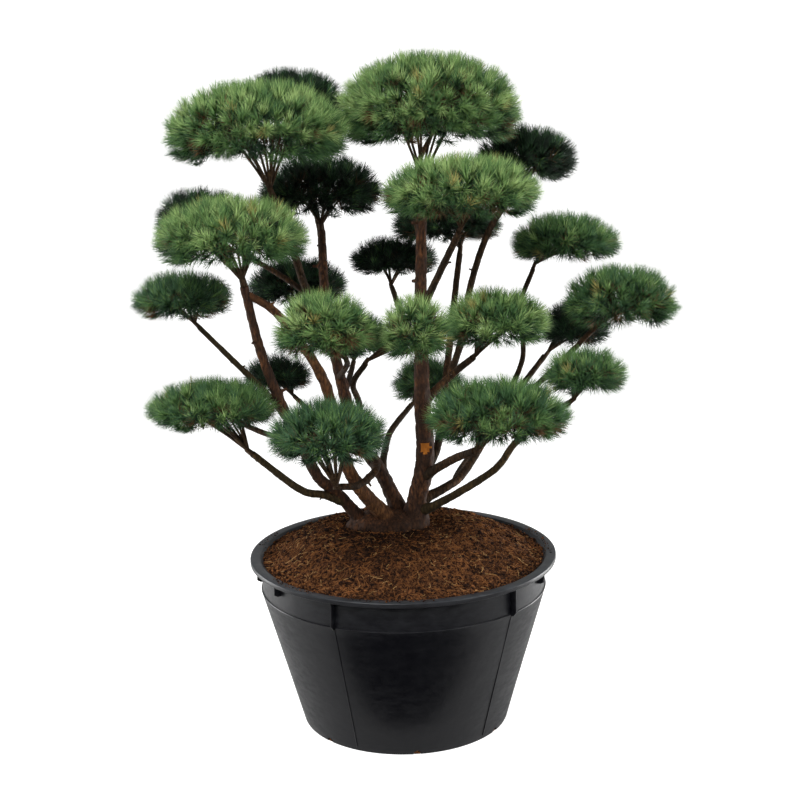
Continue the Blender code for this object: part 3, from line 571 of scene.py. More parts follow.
def principled(name, roughness, specular):
    """New Principled material and its shader."""
    made = bpy.data.materials.new(name)
    made.use_nodes = True
    shader = made.node_tree.nodes["Principled BSDF"]
    shader.inputs["Roughness"].default_value = roughness
    shader.inputs["Specular IOR Level"].default_value = specular
    return made, shader


def shaded(name, group, specular=0.15, roughness=0.95, **given):
    """Material fed by a shared group, with the group's own inputs set."""
    made, shader = principled(name, roughness, specular)
    tree = made.node_tree
    look = tree.nodes.new("ShaderNodeGroup")
    look.node_tree = group
    for label, value in given.items():
        look.inputs[label.replace("_", " ")].default_value = value
    for label, target in (("Colour", "Base Color"), ("Normal", "Normal"), ("Rough", "Roughness")):
        if label in look.outputs:
            tree.links.new(look.outputs[label], shader.inputs[target])
    return made


def bark(name, specular):
    crack, plate, patch = BARKS[name]
    return shaded(name, bark_group(), specular, Crack=crack, Plate=plate, Patch=patch)


def plain(name, colour, roughness, specular):
    made, shader = principled(name, roughness, specular)
    shader.inputs["Base Color"].default_value = colour
    made.diffuse_color = colour
    return made


# Container

def turned(profile, segments):
    """Turned wall as a bmesh, from a profile of (radius, height)."""
    bm = bmesh.new()
    verts = [bm.verts.new((radius, 0.0, height)) for radius, height in profile]
    edges = [bm.edges.new(pair) for pair in zip(verts, verts[1:])]
    bmesh.ops.spin(bm, geom=verts + edges, cent=(0, 0, 0), axis=(0, 0, 1),
                   angle=math.tau, steps=segments, use_merge=True)
    bmesh.ops.remove_doubles(bm, verts=bm.verts, dist=1e-6)
    bmesh.ops.recalc_face_normals(bm, faces=bm.faces)
    return bm


def pot_profile(pot):
    flange_under = pot.height - pot.rim_thickness
    lip_foot = pot.height - pot.rim_lip
    band_foot = pot.height - pot.band_height
    shoulder = pot.band_radius + pot.ledge
    lip_inner = pot.rim_radius - pot.rim_thickness
    rim_inner = pot.rim_radius - pot.rim_width
    foot_inner = pot.foot_radius - pot.wall
    soft = 0.001
    outer = [
        (0.0, 0.003), (0.236, 0.003), (0.240, 0.002), (0.243, 0.0003), (0.246, 0.0),
        (pot.foot_radius - 0.003, 0.0), (pot.foot_radius - 0.001, 0.0006),
        (pot.foot_radius, 0.0025),
    ]
    steps = 14
    for k in range(1, steps):
        share = k / steps
        outer.append((pot.foot_radius + share * (shoulder - pot.foot_radius),
                      0.0025 + share * (band_foot - 0.0045)))
    upper = [
        (shoulder - soft / 2, band_foot - 0.003), (shoulder, band_foot - 0.002),
        (shoulder - soft / 2, band_foot - soft / 2), (pot.band_radius, band_foot),
        (pot.band_radius, band_foot + 0.020), (pot.band_radius, band_foot + 0.050),
        (pot.band_radius, flange_under - 0.003), (pot.band_radius + soft, flange_under - soft),
        (pot.band_radius + 0.003, flange_under), (lip_inner - soft, flange_under),
        (lip_inner, flange_under - soft), (lip_inner, lip_foot + soft),
        (lip_inner + soft, lip_foot), (pot.rim_radius - soft, lip_foot),
        (pot.rim_radius, lip_foot + soft), (pot.rim_radius, pot.height - 0.0030),
        (pot.rim_radius - 0.0006, pot.height - 0.0012),
        (pot.rim_radius - 0.0018, pot.height - 0.0003),
        (pot.rim_radius - 0.0032, pot.height), (rim_inner + 0.003, pot.height - 0.0010),
        (rim_inner + soft, pot.height - 0.0016), (rim_inner, pot.height - 0.003),
        (pot.band_radius - pot.wall, pot.height - 0.008),
        (pot.band_radius - pot.wall, band_foot), (foot_inner, pot.floor + 0.003),
        (foot_inner - 0.003, pot.floor), (0.0, pot.floor),
    ]
    return outer + upper


def cut_with(obj, cutters):
    """Cuts the collection's solids from obj in one Boolean and removes them."""
    modifier = obj.modifiers.new("Cut", "BOOLEAN")
    modifier.operation = "DIFFERENCE"
    modifier.operand_type = "COLLECTION"
    modifier.collection = cutters
    modifier.solver = "EXACT"
    graph = bpy.context.evaluated_depsgraph_get()
    graph.update()
    made = bpy.data.meshes.new_from_object(obj.evaluated_get(graph))
    obj.modifiers.clear()
    obj.data = made
    for helper in list(cutters.objects):
        bpy.data.objects.remove(helper, do_unlink=True)
    bpy.data.collections.remove(cutters)


def soften(bm, verts, offset):
    """Rounds all edges of the given verts."""
    edges = {edge for vert in verts for edge in vert.link_edges}
    bmesh.ops.bevel(bm, geom=list(edges), offset=offset, segments=2, profile=0.5, affect="EDGES",
                    material=-1)


def add_gusset(bm, pot, azimuth, height):
    top = pot.height - pot.rim_thickness / 2
    root = pot.band_radius - pot.wall / 2
    foot = top - height
    outline = [(root, foot), (root, top), (root + GUSSET_REACH, top),
               (root + GUSSET_REACH, foot + 0.12 * height), (root + 0.55 * GUSSET_REACH, foot)]
    half = Vector((math.cos(azimuth), math.sin(azimuth), 0)) * GUSSET_THICKNESS / 2
    face = bm.faces.new([bm.verts.new(at_azimuth(azimuth, r, z) - half) for r, z in outline])
    grown = bmesh.ops.extrude_face_region(bm, geom=[face])["geom"]
    verts = [v for v in grown if isinstance(v, bmesh.types.BMVert)]
    bmesh.ops.translate(bm, verts=verts, vec=half * 2)
    soften(bm, list(face.verts) + verts, 0.0006)


def add_seam(bm, pot, azimuth, top):
    """Thin raised moulding line down the wall under a long gusset."""
    band_foot = pot.height - pot.band_height
    spread = pot.band_radius + pot.ledge - pot.foot_radius
    slope = math.atan2(spread, band_foot)
    middle = (SEAM_FOOT + top) / 2
    radius = pot.foot_radius + spread * middle / band_foot
    place = (Matrix.Translation(at_azimuth(azimuth, radius, middle))
             @ Matrix.Rotation(azimuth, 4, "Z") @ Matrix.Rotation(slope, 4, "X"))
    size = Matrix.Diagonal((SEAM_WIDTH, 2 * SEAM_PROUD, (top - SEAM_FOOT) / math.cos(slope), 1))
    soften(bm, bmesh.ops.create_cube(bm, size=1.0, matrix=place @ size)["verts"], 0.0005)


def round_bar(bm, middle, azimuth, tilt, radius, length):
    """Bar along the given azimuth, lying where tilt is a right angle and upright where it is 0."""
    turn = Matrix.Rotation(azimuth, 4, "Z") @ Matrix.Rotation(tilt, 4, "X")
    bmesh.ops.create_cone(bm, cap_ends=True, segments=CUTTER_SEGMENTS, radius1=radius,
                          radius2=radius, depth=length, matrix=Matrix.Translation(middle) @ turn)


def build_container(pot):
    band_foot = pot.height - pot.band_height
    wall = turned(pot_profile(pot), pot.segments)
    for vert in wall.verts:
        reach = vert.co.xy.length
        if 0.02 < vert.co.z < band_foot - 0.006 and reach > 0.2:
            vert.co.xy *= 1 - abs(noise.noise(vert.co * 4.0) * DENT) / reach
    material = shaded("container_plastic", plastic_group(), 0.31, Clean=tuple(pot.colour),
                      Worn=tuple(pot.worn_colour), Rim_height=pot.height)
    obj = to_object(wall, "container")
    cutters = bpy.data.collections.new("cutters")
    bpy.context.scene.collection.children.link(cutters)
    bars = [(at_azimuth(a, pot.foot_radius, 0.002), a, math.pi / 2, NOTCH_RADIUS, 0.05)
            for a in DRAIN_NOTCHES]
    hole = at_azimuth(FLANGE_HOLE_AZIMUTH, pot.rim_radius - pot.rim_width / 2, pot.height)
    bars.append((hole, 0.0, 0.0, FLANGE_HOLE_RADIUS, 0.03))
    for bar in bars:
        bm = bmesh.new()
        round_bar(bm, *bar)
        cutter = to_object(bm, "cutter", smooth_angle=0)
        bpy.context.scene.collection.objects.unlink(cutter)
        cutters.objects.link(cutter)
    cut_with(obj, cutters)
    bm = bmesh.new()
    bm.from_mesh(obj.data)
    for azimuth in LONG_GUSSETS:
        add_gusset(bm, pot, azimuth, LONG_GUSSET_HEIGHT)
        add_seam(bm, pot, azimuth, band_foot - 0.003)
    for azimuth in SHORT_GUSSETS:
        add_gusset(bm, pot, azimuth, SHORT_GUSSET_HEIGHT)
    bmesh.ops.recalc_face_normals(bm, faces=bm.faces)
    bm.to_mesh(obj.data)
    bm.free()
    obj.data.materials.clear()
    obj.data.materials.append(material)
    obj.data.shade_smooth()
    obj.data.set_sharp_from_angle(angle=math.radians(40))
    return keep(obj, ["pot"])


# Mulch

def mulch_edge(pot):
    return pot.band_radius - pot.wall - WALL_CLEARANCE


def mound_height(mulch, edge, radius):
    share = min(max((edge - radius) / (edge - MULCH_LEVEL_RADIUS), 0.0), 1.0)
    return mulch.edge + (mulch.top - mulch.edge) * math.sin(share * math.pi / 2)


def surface_height(mulch, edge, x, y):
    """Height of the heaped mulch with its lumps, but without its finest crumbs."""
    radius = math.hypot(x, y)
    lumps = (noise.noise(Vector((x, y, 0)) * 18.0) * 0.6
             + noise.noise(Vector((x, y, 4)) * 55.0) * 0.4)
    at_edge = min(max((radius / edge - EDGE_HEAP_START) / (1 - EDGE_HEAP_START), 0.0), 1.0)
    heap = EDGE_HEAP * at_edge ** 2 * (1 + 0.5 * noise.noise(Vector((x, y, 2)) * 22.0))
    relief = mulch.relief * (lumps - 0.35) * (1 - 0.5 * at_edge)
    return mound_height(mulch, edge, radius) + heap + relief


def build_bed(mulch, pot, material):
    """The root ball and the heap of mulch on it, as one closed body."""
    edge = mulch_edge(pot)
    foot = pot.floor + 0.0006
    profile = [(0.0, foot), (pot.foot_radius - pot.wall - 0.0035, foot),
               (edge, pot.height - pot.band_height), (edge, mulch.edge - 0.01)]
    rings = [edge * (1 - k / MULCH_RINGS) for k in range(MULCH_RINGS + 1)]
    profile += [(radius, mound_height(mulch, edge, radius)) for radius in rings]
    bm = turned(profile, MULCH_SEGMENTS)
    for vert in bm.verts:
        if vert.co.z >= mulch.edge - 0.001:
            x, y = vert.co.xy
            crumb = noise.noise(Vector((x, y, 9)) * 160.0)
            vert.co.z = surface_height(mulch, edge, x, y) + 0.35 * mulch.relief * crumb
    return keep(to_object(bm, "mulch_bed", [material], 180), ["mulch"])


def scatter_crumbs(mulch, pot, material, rng):
    """Loose crumbs, more of them along the wall, and a few spilt on the flange."""
    edge = mulch_edge(pot)
    count = mulch.crumbs
    radius = edge * np.sqrt(rng.random(count)) * 0.995
    radius[::5] = edge * (1 - 0.06 * rng.random(len(radius[::5])) ** 2)
    angle = rng.random(count) * math.tau
    x, y = radius * np.cos(angle), radius * np.sin(angle)
    z = np.array([surface_height(mulch, edge, a, b) for a, b in zip(x, y)])
    size = 0.0015 + 0.0065 * rng.random(count) ** 3
    spilt = (np.arange(count) % 12 == 0) & (np.sin(angle * 3 + 1.0) + np.sin(angle * 7) > 0.2)
    on_flange = pot.rim_radius - pot.rim_width * (0.35 + 0.65 * rng.random(count))
    x = np.where(spilt, on_flange * np.cos(angle), x)
    y = np.where(spilt, on_flange * np.sin(angle), y)
    z = np.where(spilt, pot.height, z)
    size = np.where(spilt, 0.0012 + 0.25 * size, size)
    points, triangles = lumps_of(np.stack([x, y, z + 0.2 * size], 1), size, rng)
    dark = shaded("crumb_dark", crumb_group(), Damp=(0.007, 0.003, 0.002, 1),
                  Dry=(0.08, 0.030, 0.012, 1))
    tint = np.repeat(rng.random(count) < 0.55, len(triangles) // count)
    return keep(mesh_piece("mulch_crumbs", points, triangles, [dark, material], tint))


def scatter_fibres(mulch, pot, rng):
    """Curled fibres that lie on the mulch, each a chain of short bars."""
    edge = mulch_edge(pot)
    count = mulch.fibres
    radius = edge * np.sqrt(rng.random(count)) * 0.97
    angle = rng.random(count) * math.tau
    heading = rng.random(count) * math.tau
    length = 0.010 + 0.030 * rng.random(count) ** 2
    curl = rng.normal(0, 0.5, count)
    chain = [np.stack([radius * np.cos(angle), radius * np.sin(angle)], 1)]
    for k in range(FIBRE_JOINTS - 1):
        turn = heading + curl * k
        step = np.stack([np.cos(turn), np.sin(turn)], 1) * (length / (FIBRE_JOINTS - 1))[:, None]
        chain.append(chain[-1] + step)
    lift = rng.random((count, FIBRE_JOINTS)) * 0.004
    places = []
    for k, flat in enumerate(chain):
        away = np.maximum(np.linalg.norm(flat, axis=1) / (edge - 0.002), 1.0)
        flat = flat / away[:, None]
        level = np.array([surface_height(mulch, edge, a, b) for a, b in flat])
        places.append(np.concatenate([flat, (level + lift[:, k])[:, None]], 1))
    width = rng.uniform(0.00035, 0.0010, count)
    kind = rng.choice(len(FIBRE_ODDS), count, p=FIBRE_ODDS)
    rows = [(one, two, width, width * 0.8) for one, two in zip(places, places[1:])]
    points, triangles = all_bars(rows)
    materials = [plain(name, colour, 0.85, 0.1) for name, colour in FIBRE_COLOURS.items()]
    tints = np.tile(np.repeat(kind, len(triangles) // (count * len(rows))), len(rows))
    return keep(mesh_piece("mulch_fibres", points, triangles, materials, tints))


def plug_notches(pot, material):
    """Mulch that shows in the drain notches."""
    bm = bmesh.new()
    for azimuth in DRAIN_NOTCHES:
        round_bar(bm, at_azimuth(azimuth, pot.foot_radius - 0.008, 0.0022), azimuth, math.pi / 2,
                  NOTCH_RADIUS - 0.0008, 0.010)
    for vert in bm.verts:
        vert.co.z = max(vert.co.z, 0.0003)
    return keep(to_object(bm, "drain_crumbs", [material]))


def build_mulch(mulch, pot):
    material = shaded("mulch_bed", crumb_group(), Damp=tuple(mulch.dark), Dry=tuple(mulch.light))
    rng = np.random.default_rng(SEED)
    build_bed(mulch, pot, material)
    scatter_crumbs(mulch, pot, material, rng)
    scatter_fibres(mulch, pot, rng)
    plug_notches(pot, material)


# Joined small things, from arrays

BAR_FACES = [(0, 1, 4), (0, 4, 3), (1, 2, 5), (1, 5, 4), (2, 0, 3), (2, 3, 5), (0, 2, 1), (3, 4, 5)]
SPIKE_FACES = [(0, 1, 3), (1, 2, 3), (2, 0, 3), (0, 2, 1)]
LUMP_CORNERS = [(1, 0, 0), (-1, 0, 0), (0, 1, 0), (0, -1, 0), (0, 0, 0.7), (0, 0, -0.7)]
LUMP_FACES = [(0, 2, 4), (2, 1, 4), (1, 3, 4), (3, 0, 4), (2, 0, 5), (1, 2, 5), (3, 1, 5),
              (0, 3, 5)]


def frames_of(along, spin=None):
    """Two unit vectors across each direction, turned round it by spin."""
    along = along / np.maximum(np.linalg.norm(along, axis=1, keepdims=True), 1e-9)
    other = np.where(np.abs(along[:, 2:3]) < 0.9, [[0.0, 0.0, 1.0]], [[1.0, 0.0, 0.0]])
    side = np.cross(other, along)
    side /= np.maximum(np.linalg.norm(side, axis=1, keepdims=True), 1e-9)
    up = np.cross(along, side)
    if spin is not None:
        cos, sin = np.cos(spin)[:, None], np.sin(spin)[:, None]
        side, up = cos * side + sin * up, cos * up - sin * side
    return along, side, up


def rings_of(along, spin=None):
    """Three corners of unit size round each direction."""
    _, side, up = frames_of(along, spin)
    turns = np.arange(3) * math.tau / 3
    return np.cos(turns)[None, :, None] * side[:, None] + np.sin(turns)[None, :, None] * up[:, None]


def copies(faces, corners, count):
    """The same faces for each of count shapes with so many corners."""
    return (np.array(faces)[None] + np.arange(count)[:, None, None] * corners).reshape(-1, 3)


def bars_of(starts, ends, thick, thin):
    """Closed three-sided tapering bars as points and triangles."""
    count = len(starts)
    ring = rings_of(ends - starts)
    thick, thin = (np.broadcast_to(size, count)[:, None, None] for size in (thick, thin))
    points = np.concatenate([starts[:, None] + thick * ring, ends[:, None] + thin * ring], 1)
    return points.reshape(-1, 3), copies(BAR_FACES, 6, count)


def all_bars(rows):
    """Bars of many rows of (starts, ends, thick, thin), joined."""
    points, triangles, held = [], [], 0
    for row in rows:
        more, faces = bars_of(*row)
        points.append(more)
        triangles.append(faces + held)
        held += len(more)
    return np.concatenate(points), np.concatenate(triangles)


def spikes_of(roots, tips, width, spin):
    """Closed three-sided needles as points and triangles."""
    ring = rings_of(tips - roots, spin)
    points = np.concatenate([roots[:, None] + width[:, None, None] / 2 * ring, tips[:, None]], 1)
    return points.reshape(-1, 3), copies(SPIKE_FACES, 4, len(roots))


def lumps_of(centres, sizes, rng):
    """Closed rough eight-sided crumbs as points and triangles."""
    count = len(centres)
    spin = rng.random(count) * math.tau
    cos, sin = np.cos(spin)[:, None], np.sin(spin)[:, None]
    rough = rng.uniform(0.6, 1.3, (count, 6, 1))
    x, y, z = np.moveaxis(np.array(LUMP_CORNERS)[None] * rough * sizes[:, None, None], 2, 0)
    points = np.stack([x * cos - y * sin, x * sin + y * cos, z], 2) + centres[:, None]
    return points.reshape(-1, 3), copies(LUMP_FACES, 6, count)


def mesh_piece(name, points, triangles, materials, tints):
    """One joined mesh from arrays, with a material index for each triangle."""
    if len(triangles) >= PIECE_LIMIT:
        raise RuntimeError(f"{name} has {len(triangles)} triangles")
    mesh = bpy.data.meshes.new(name)
    mesh.vertices.add(len(points))
    mesh.vertices.foreach_set("co", np.ascontiguousarray(points, np.float32).ravel())
    mesh.loops.add(3 * len(triangles))
    mesh.loops.foreach_set("vertex_index", np.ascontiguousarray(triangles, np.int32).ravel())
    mesh.polygons.add(len(triangles))
    mesh.polygons.foreach_set("loop_start", np.arange(0, 3 * len(triangles), 3, dtype=np.int32))
    for material in materials:
        mesh.materials.append(material)
    mesh.polygons.foreach_set("material_index", np.ascontiguousarray(tints, np.int32))
    mesh.update(calc_edges=True)
    obj = bpy.data.objects.new(name, mesh)
    bpy.context.scene.collection.objects.link(obj)
    return obj


# Limbs

def smooth_route(points, spacing):
    """Even stations on a smooth curve through the points."""
    points = [Vector(p) for p in points]
    ends = [2 * points[0] - points[1]] + points + [2 * points[-1] - points[-2]]
    fine = []
    for a, b, c, d in zip(ends, ends[1:], ends[2:], ends[3:]):
        for step in range(CURVE_STEPS):
            t = step / CURVE_STEPS
            fine.append(0.5 * (2 * b + (c - a) * t + (2 * a - 5 * b + 4 * c - d) * t ** 2
                               + (3 * b - a - 3 * c + d) * t ** 3))
    fine.append(points[-1])
    lengths = [0.0]
    for one, two in zip(fine, fine[1:]):
        lengths.append(lengths[-1] + (two - one).length)
    count = max(3, round(lengths[-1] / spacing) + 1)
    stations = []
    index = 0
    for k in range(count):
        wanted = lengths[-1] * k / (count - 1)
        while index < len(lengths) - 2 and lengths[index + 1] < wanted:
            index += 1
        share = (wanted - lengths[index]) / (lengths[index + 1] - lengths[index])
        stations.append(fine[index].lerp(fine[index + 1], min(share, 1.0)))
    return stations


def on_axis(route, height):
    for one, two in zip(route, route[1:]):
        if one.z <= height <= two.z:
            return one.lerp(two, (height - one.z) / (two.z - one.z))
    raise ValueError(f"no station at height {height}")


def plan_limbs(spacing, flare):
    """Every limb's route and radii, worked out from the trunk outwards."""
    planned = {}
    for limb in LIMBS:
        points = list(limb.bends)
        parent_radius = 0.0
        if limb.parent:
            parent_route, parent_radii = planned[limb.parent]
            start = on_axis(parent_route, limb.leaves_at)
            points.insert(0, start)
            nearest = min(range(len(parent_route)), key=lambda k: (parent_route[k] - start).length)
            parent_radius = parent_radii[nearest]
        route = smooth_route(points, spacing)
        radii = []
        gone = 0.0
        for k, point in enumerate(route):
            radius = limb.thick + (limb.thin - limb.thick) * k / (len(route) - 1)
            if k:
                gone += (point - route[k - 1]).length
            if limb.name == "trunk":
                lift = min(max((point.z - GROUND) / FLARE_HEIGHT, 0.0), 1.0)
                radius *= ROOT_FLARE + (1 - ROOT_FLARE) * lift
            elif limb.parent:
                beyond = max(gone - parent_radius, 0.0)
                swollen = radius * (1 + flare * math.exp(-beyond / (1.6 * limb.thick)))
                limit = COLLAR_LIMIT * parent_radius
                if radius < limit:
                    radius = min(swollen, limit)
            else:
                radius *= 1 + 0.25 * math.exp(-gone / 0.05)
            radii.append(radius)
        planned[limb.name] = (route, radii)
    return planned


def ring_frames(route):
    """One frame a station, its Z along the route, turning as little as it can."""
    frames = []
    side = Vector((1, 0, 0))
    for k, point in enumerate(route):
        before = route[max(k - 1, 0)]
        after = route[min(k + 1, len(route) - 1)]
        along = (after - before).normalized()
        side = (side - along * side.dot(along)).normalized()
        turn = Matrix((side, along.cross(side), along)).transposed()
        frames.append(Matrix.Translation(point) @ turn.to_4x4())
    return frames


def limb_tube(route, radii, sides):
    """Closed tapering limb as a bmesh, and the verts of each of its rings, the root's first."""
    frames = ring_frames(route)
    bm = bmesh.new()
    bmesh.ops.create_circle(bm, segments=sides, radius=radii[0], matrix=frames[0])
    ring = bm.edges[:]
    rings = [bm.verts[:]]
    for k in range(1, len(route)):
        grown = bmesh.ops.extrude_edge_only(bm, edges=ring)["geom"]
        ring = [g for g in grown if isinstance(g, bmesh.types.BMEdge)]
        verts = [g for g in grown if isinstance(g, bmesh.types.BMVert)]
        scale = Matrix.Scale(radii[k] / radii[k - 1], 4)
        bmesh.ops.transform(bm, matrix=frames[k] @ scale @ frames[k - 1].inverted(), verts=verts)
        rings.append(verts)
    bmesh.ops.holes_fill(bm, edges=bm.edges)
    bmesh.ops.recalc_face_normals(bm, faces=bm.faces)
    return bm, rings


def bark_relief(point, depth):
    """Share by which the bark stands in or out at a point."""
    stretched = Vector((point.x * 62.0, point.y * 62.0, point.z * 24.0))
    near = noise.voronoi(stretched)[0]
    crack = min(max((near[1] - near[0]) / 0.35, 0.0), 1.0)
    swell = noise.noise(point * 22.0)
    return depth * (crack - 0.75) + 0.05 * swell


def knots_of(limb, route, radii, rng):
    """Old branch scars as (place on the surface, size)."""
    knots = []
    for _ in range(5 if limb.thick > 0.0155 else 2):
        k = rng.randrange(len(route) // 5, len(route) - 3)
        along = (route[k + 1] - route[k]).normalized()
        around = Matrix.Rotation(rng.uniform(0, math.tau), 3, along)
        out = around @ along.orthogonal().normalized()
        knots.append((route[k] + out * radii[k], out, radii[k] * rng.uniform(0.35, 0.6)))
    return knots


def knot_swell(point, knots):
    total = 0.0
    for place, _, size in knots:
        away = (point - place).length / size
        if away < 3.0:
            total += 0.45 * size * math.exp(-(away - 0.8) ** 2 * 3.0)
    return total


def pour(target, source, index=None):
    """Adds one bmesh to another, with a material index for all its faces where one is given."""
    if index is not None:
        for face in source.faces:
            face.material_index = index
    mesh = bpy.data.meshes.new("poured")
    source.to_mesh(mesh)
    source.free()
    target.from_mesh(mesh)
    bpy.data.meshes.remove(mesh)


def add_stub(bm, place, out, size, index):
    """Short dead stub with a flat sawn end."""
    route = [place - out * size, place + out * size * 0.6, place + out * size * 2.2]
    made, _ = limb_tube(route, [size * 0.75, size * 0.6, size * 0.5], 8)
    pour(bm, made, index)


def wound_relief(point):
    """Callus round the fresh cut on the trunk, and the hollow inside it."""
    away = (point - WOUND).length
    if away >= 1.6 * WOUND_SIZE:
        return 0.0
    ridge = math.exp(-((away - WOUND_SIZE) / 0.004) ** 2)
    return 0.0022 * ridge - 0.0012 * (away < 0.85 * WOUND_SIZE)


def add_limb(target, limb, route, radii, sides, depth, rng):
    bm, rings = limb_tube(route, radii, sides)
    knots = knots_of(limb, route, radii, rng)
    for centre, radius, verts in zip(route, radii, rings):
        for vert in verts:
            move = radius * bark_relief(vert.co, depth) + knot_swell(vert.co, knots)
            if limb.name == "trunk":
                move += wound_relief(vert.co)
            vert.co += (vert.co - centre).normalized() * move
    index = 1 if limb.name in PALER_LIMBS else 0
    for face in bm.faces:
        cut = limb.name == "trunk" and (face.calc_center_median() - WOUND).length < 0.8 * WOUND_SIZE
        face.material_index = 2 if cut else index
    pour(target, bm)
    for place, out, size in knots[::2]:
        add_stub(target, place, out, size, index)


def make_stool():
    """Rough woody lump under the stems."""
    stool = bmesh.new()
    place = Matrix.Translation(STOOL_CENTRE) @ Matrix.Diagonal(STOOL_HALF).to_4x4()
    bmesh.ops.create_icosphere(stool, subdivisions=5, radius=1.0, matrix=place)
    for vert in stool.verts:
        out = (vert.co - STOOL_CENTRE).normalized()
        vert.co += out * (0.05 * bark_relief(vert.co, 0.10) + 0.006 * noise.noise(vert.co * 30.0))
    return stool


def build_limbs(limbs):
    planned = plan_limbs(limbs.spacing, limbs.flare)
    rng = random.Random(SEED)
    stems, boughs = bmesh.new(), bmesh.new()
    for limb in LIMBS:
        route, radii = planned[limb.name]
        if limb.parent:
            target, sides, depth = boughs, limbs.bough_sides, 0.6 * limbs.plate_relief
        else:
            target, sides, depth = stems, limbs.stem_sides, limbs.plate_relief
        add_limb(target, limb, route, radii, sides, depth, rng)
    pour(stems, make_stool(), 0)
    cut = bmesh.ops.bisect_plane(stems, geom=stems.verts[:] + stems.edges[:] + stems.faces[:],
                                 plane_co=(0, 0, GROUND - 0.010), plane_no=(0, 0, 1),
                                 clear_inner=True)
    edges = [g for g in cut["geom_cut"] if isinstance(g, bmesh.types.BMEdge)]
    bmesh.ops.holes_fill(stems, edges=edges)
    bmesh.ops.recalc_face_normals(stems, faces=stems.faces)
    bmesh.ops.recalc_face_normals(boughs, faces=boughs.faces)
    stem_barks = [bark("trunk_bark", 0.3), bark("orange_bark", 0.3), bark("wound_wood", 0.15)]
    bough_barks = [bark("young_bark", 0.2), bark("olive_bark", 0.2)]
    keep(to_object(stems, "stems", stem_barks, 60),
         [limb.name for limb in LIMBS if not limb.parent])
    keep(to_object(boughs, "boughs", bough_barks, 60),
         [limb.name for limb in LIMBS if limb.parent])


# Cushions

def pad_frame(pad):
    """Middle of a cushion at its rim's level, and its reaches: across, deep, up and down."""
    half_x, half_y, half_z = pad.half
    middle = np.array(pad.centre) - np.array([0, 0, RIM_LEVEL * half_z])
    return middle, half_x, half_y, (1 + RIM_LEVEL) * half_z, (1 - RIM_LEVEL) * half_z


def reaches(pad, places):
    """Reach of a cushion along each axis, for places above or below its rim."""
    _, across, deep, up, down = pad_frame(pad)
    upright = np.where(places[..., 2] > 0, up, down)
    return np.stack([np.full(upright.shape, across), np.full(upright.shape, deep), upright], -1)


def skin_point(pad, directions, share):
    """Points that lie so far out towards the skin of a cushion."""
    size = reaches(pad, directions)
    return pad_frame(pad)[0] + (share / fullness(directions))[:, None] * directions * size


def fullness(places):
    """Distance from the middle of a unit cushion, domed above and blunt below."""
    flat = np.linalg.norm(places[..., :2], axis=-1)
    power = np.where(places[..., 2] > 0, TOP_FULLNESS, LOW_FULLNESS)
    return (flat ** power + np.abs(places[..., 2]) ** power) ** (1 / power)


def depth_in(pad, points):
    """How far out points lie in a cushion, from 0 in the middle to 1 on its skin."""
    away = points - pad_frame(pad)[0]
    return fullness(away / reaches(pad, away))


def clear_of_limbs(points, planned, carrier):
    """Whether each point keeps off the limbs, apart from the one that carries the cushion."""
    free = np.ones(len(points), bool)
    for name, (route, radii) in planned.items():
        if name == carrier:
            continue
        stations = np.array(route[::4] + [route[-1]])
        near = np.linalg.norm(points[:, None] - stations[None], axis=2).min(1)
        free &= near > max(radii) + LIMB_CLEARANCE
    return free


def nearest_of(points, targets):
    return np.linalg.norm(points[:, None] - targets[None], axis=2).argmin(1)


def spread_directions(count, rim_count, low_count, rng):
    """Even directions over a cushion's top, then a fringe round its rim, then its underside."""
    k = np.arange(count)
    radius = 0.985 * np.sqrt((k + 0.5) / count)
    azimuth = k * GOLDEN_ANGLE + rng.normal(0, 0.10, count)
    dome = np.stack([radius * np.cos(azimuth), radius * np.sin(azimuth),
                     np.sqrt(1 - radius ** 2)], 1)
    parts = [dome]
    for total, least, most in ((rim_count, -0.50, 0.45), (low_count, -0.78, -0.35)):
        level = rng.triangular(least, (least + most) / 2, most, total)
        azimuth = np.arange(total) * math.tau / max(total, 1) + rng.normal(0, 0.05, total)
        flat = np.sqrt(1 - level ** 2)
        parts.append(np.stack([flat * np.cos(azimuth), flat * np.sin(azimuth), level], 1))
    return np.concatenate(parts)


def bent(starts, ends, sag, thick, thin, steps):
    """Twigs that curve from start to end, as rows of bars."""
    middle = (starts + ends) / 2 + (0, 0, sag)
    stations = np.linspace(0, 1, steps + 1)
    places = [(1 - t) ** 2 * starts + 2 * t * (1 - t) * middle + t ** 2 * ends for t in stations]
    sizes = thick + (thin - thick) * stations
    return list(zip(places, places[1:], sizes, sizes[1:]))


Shoots = namedtuple("Shoots", "directions heads tops roots length")


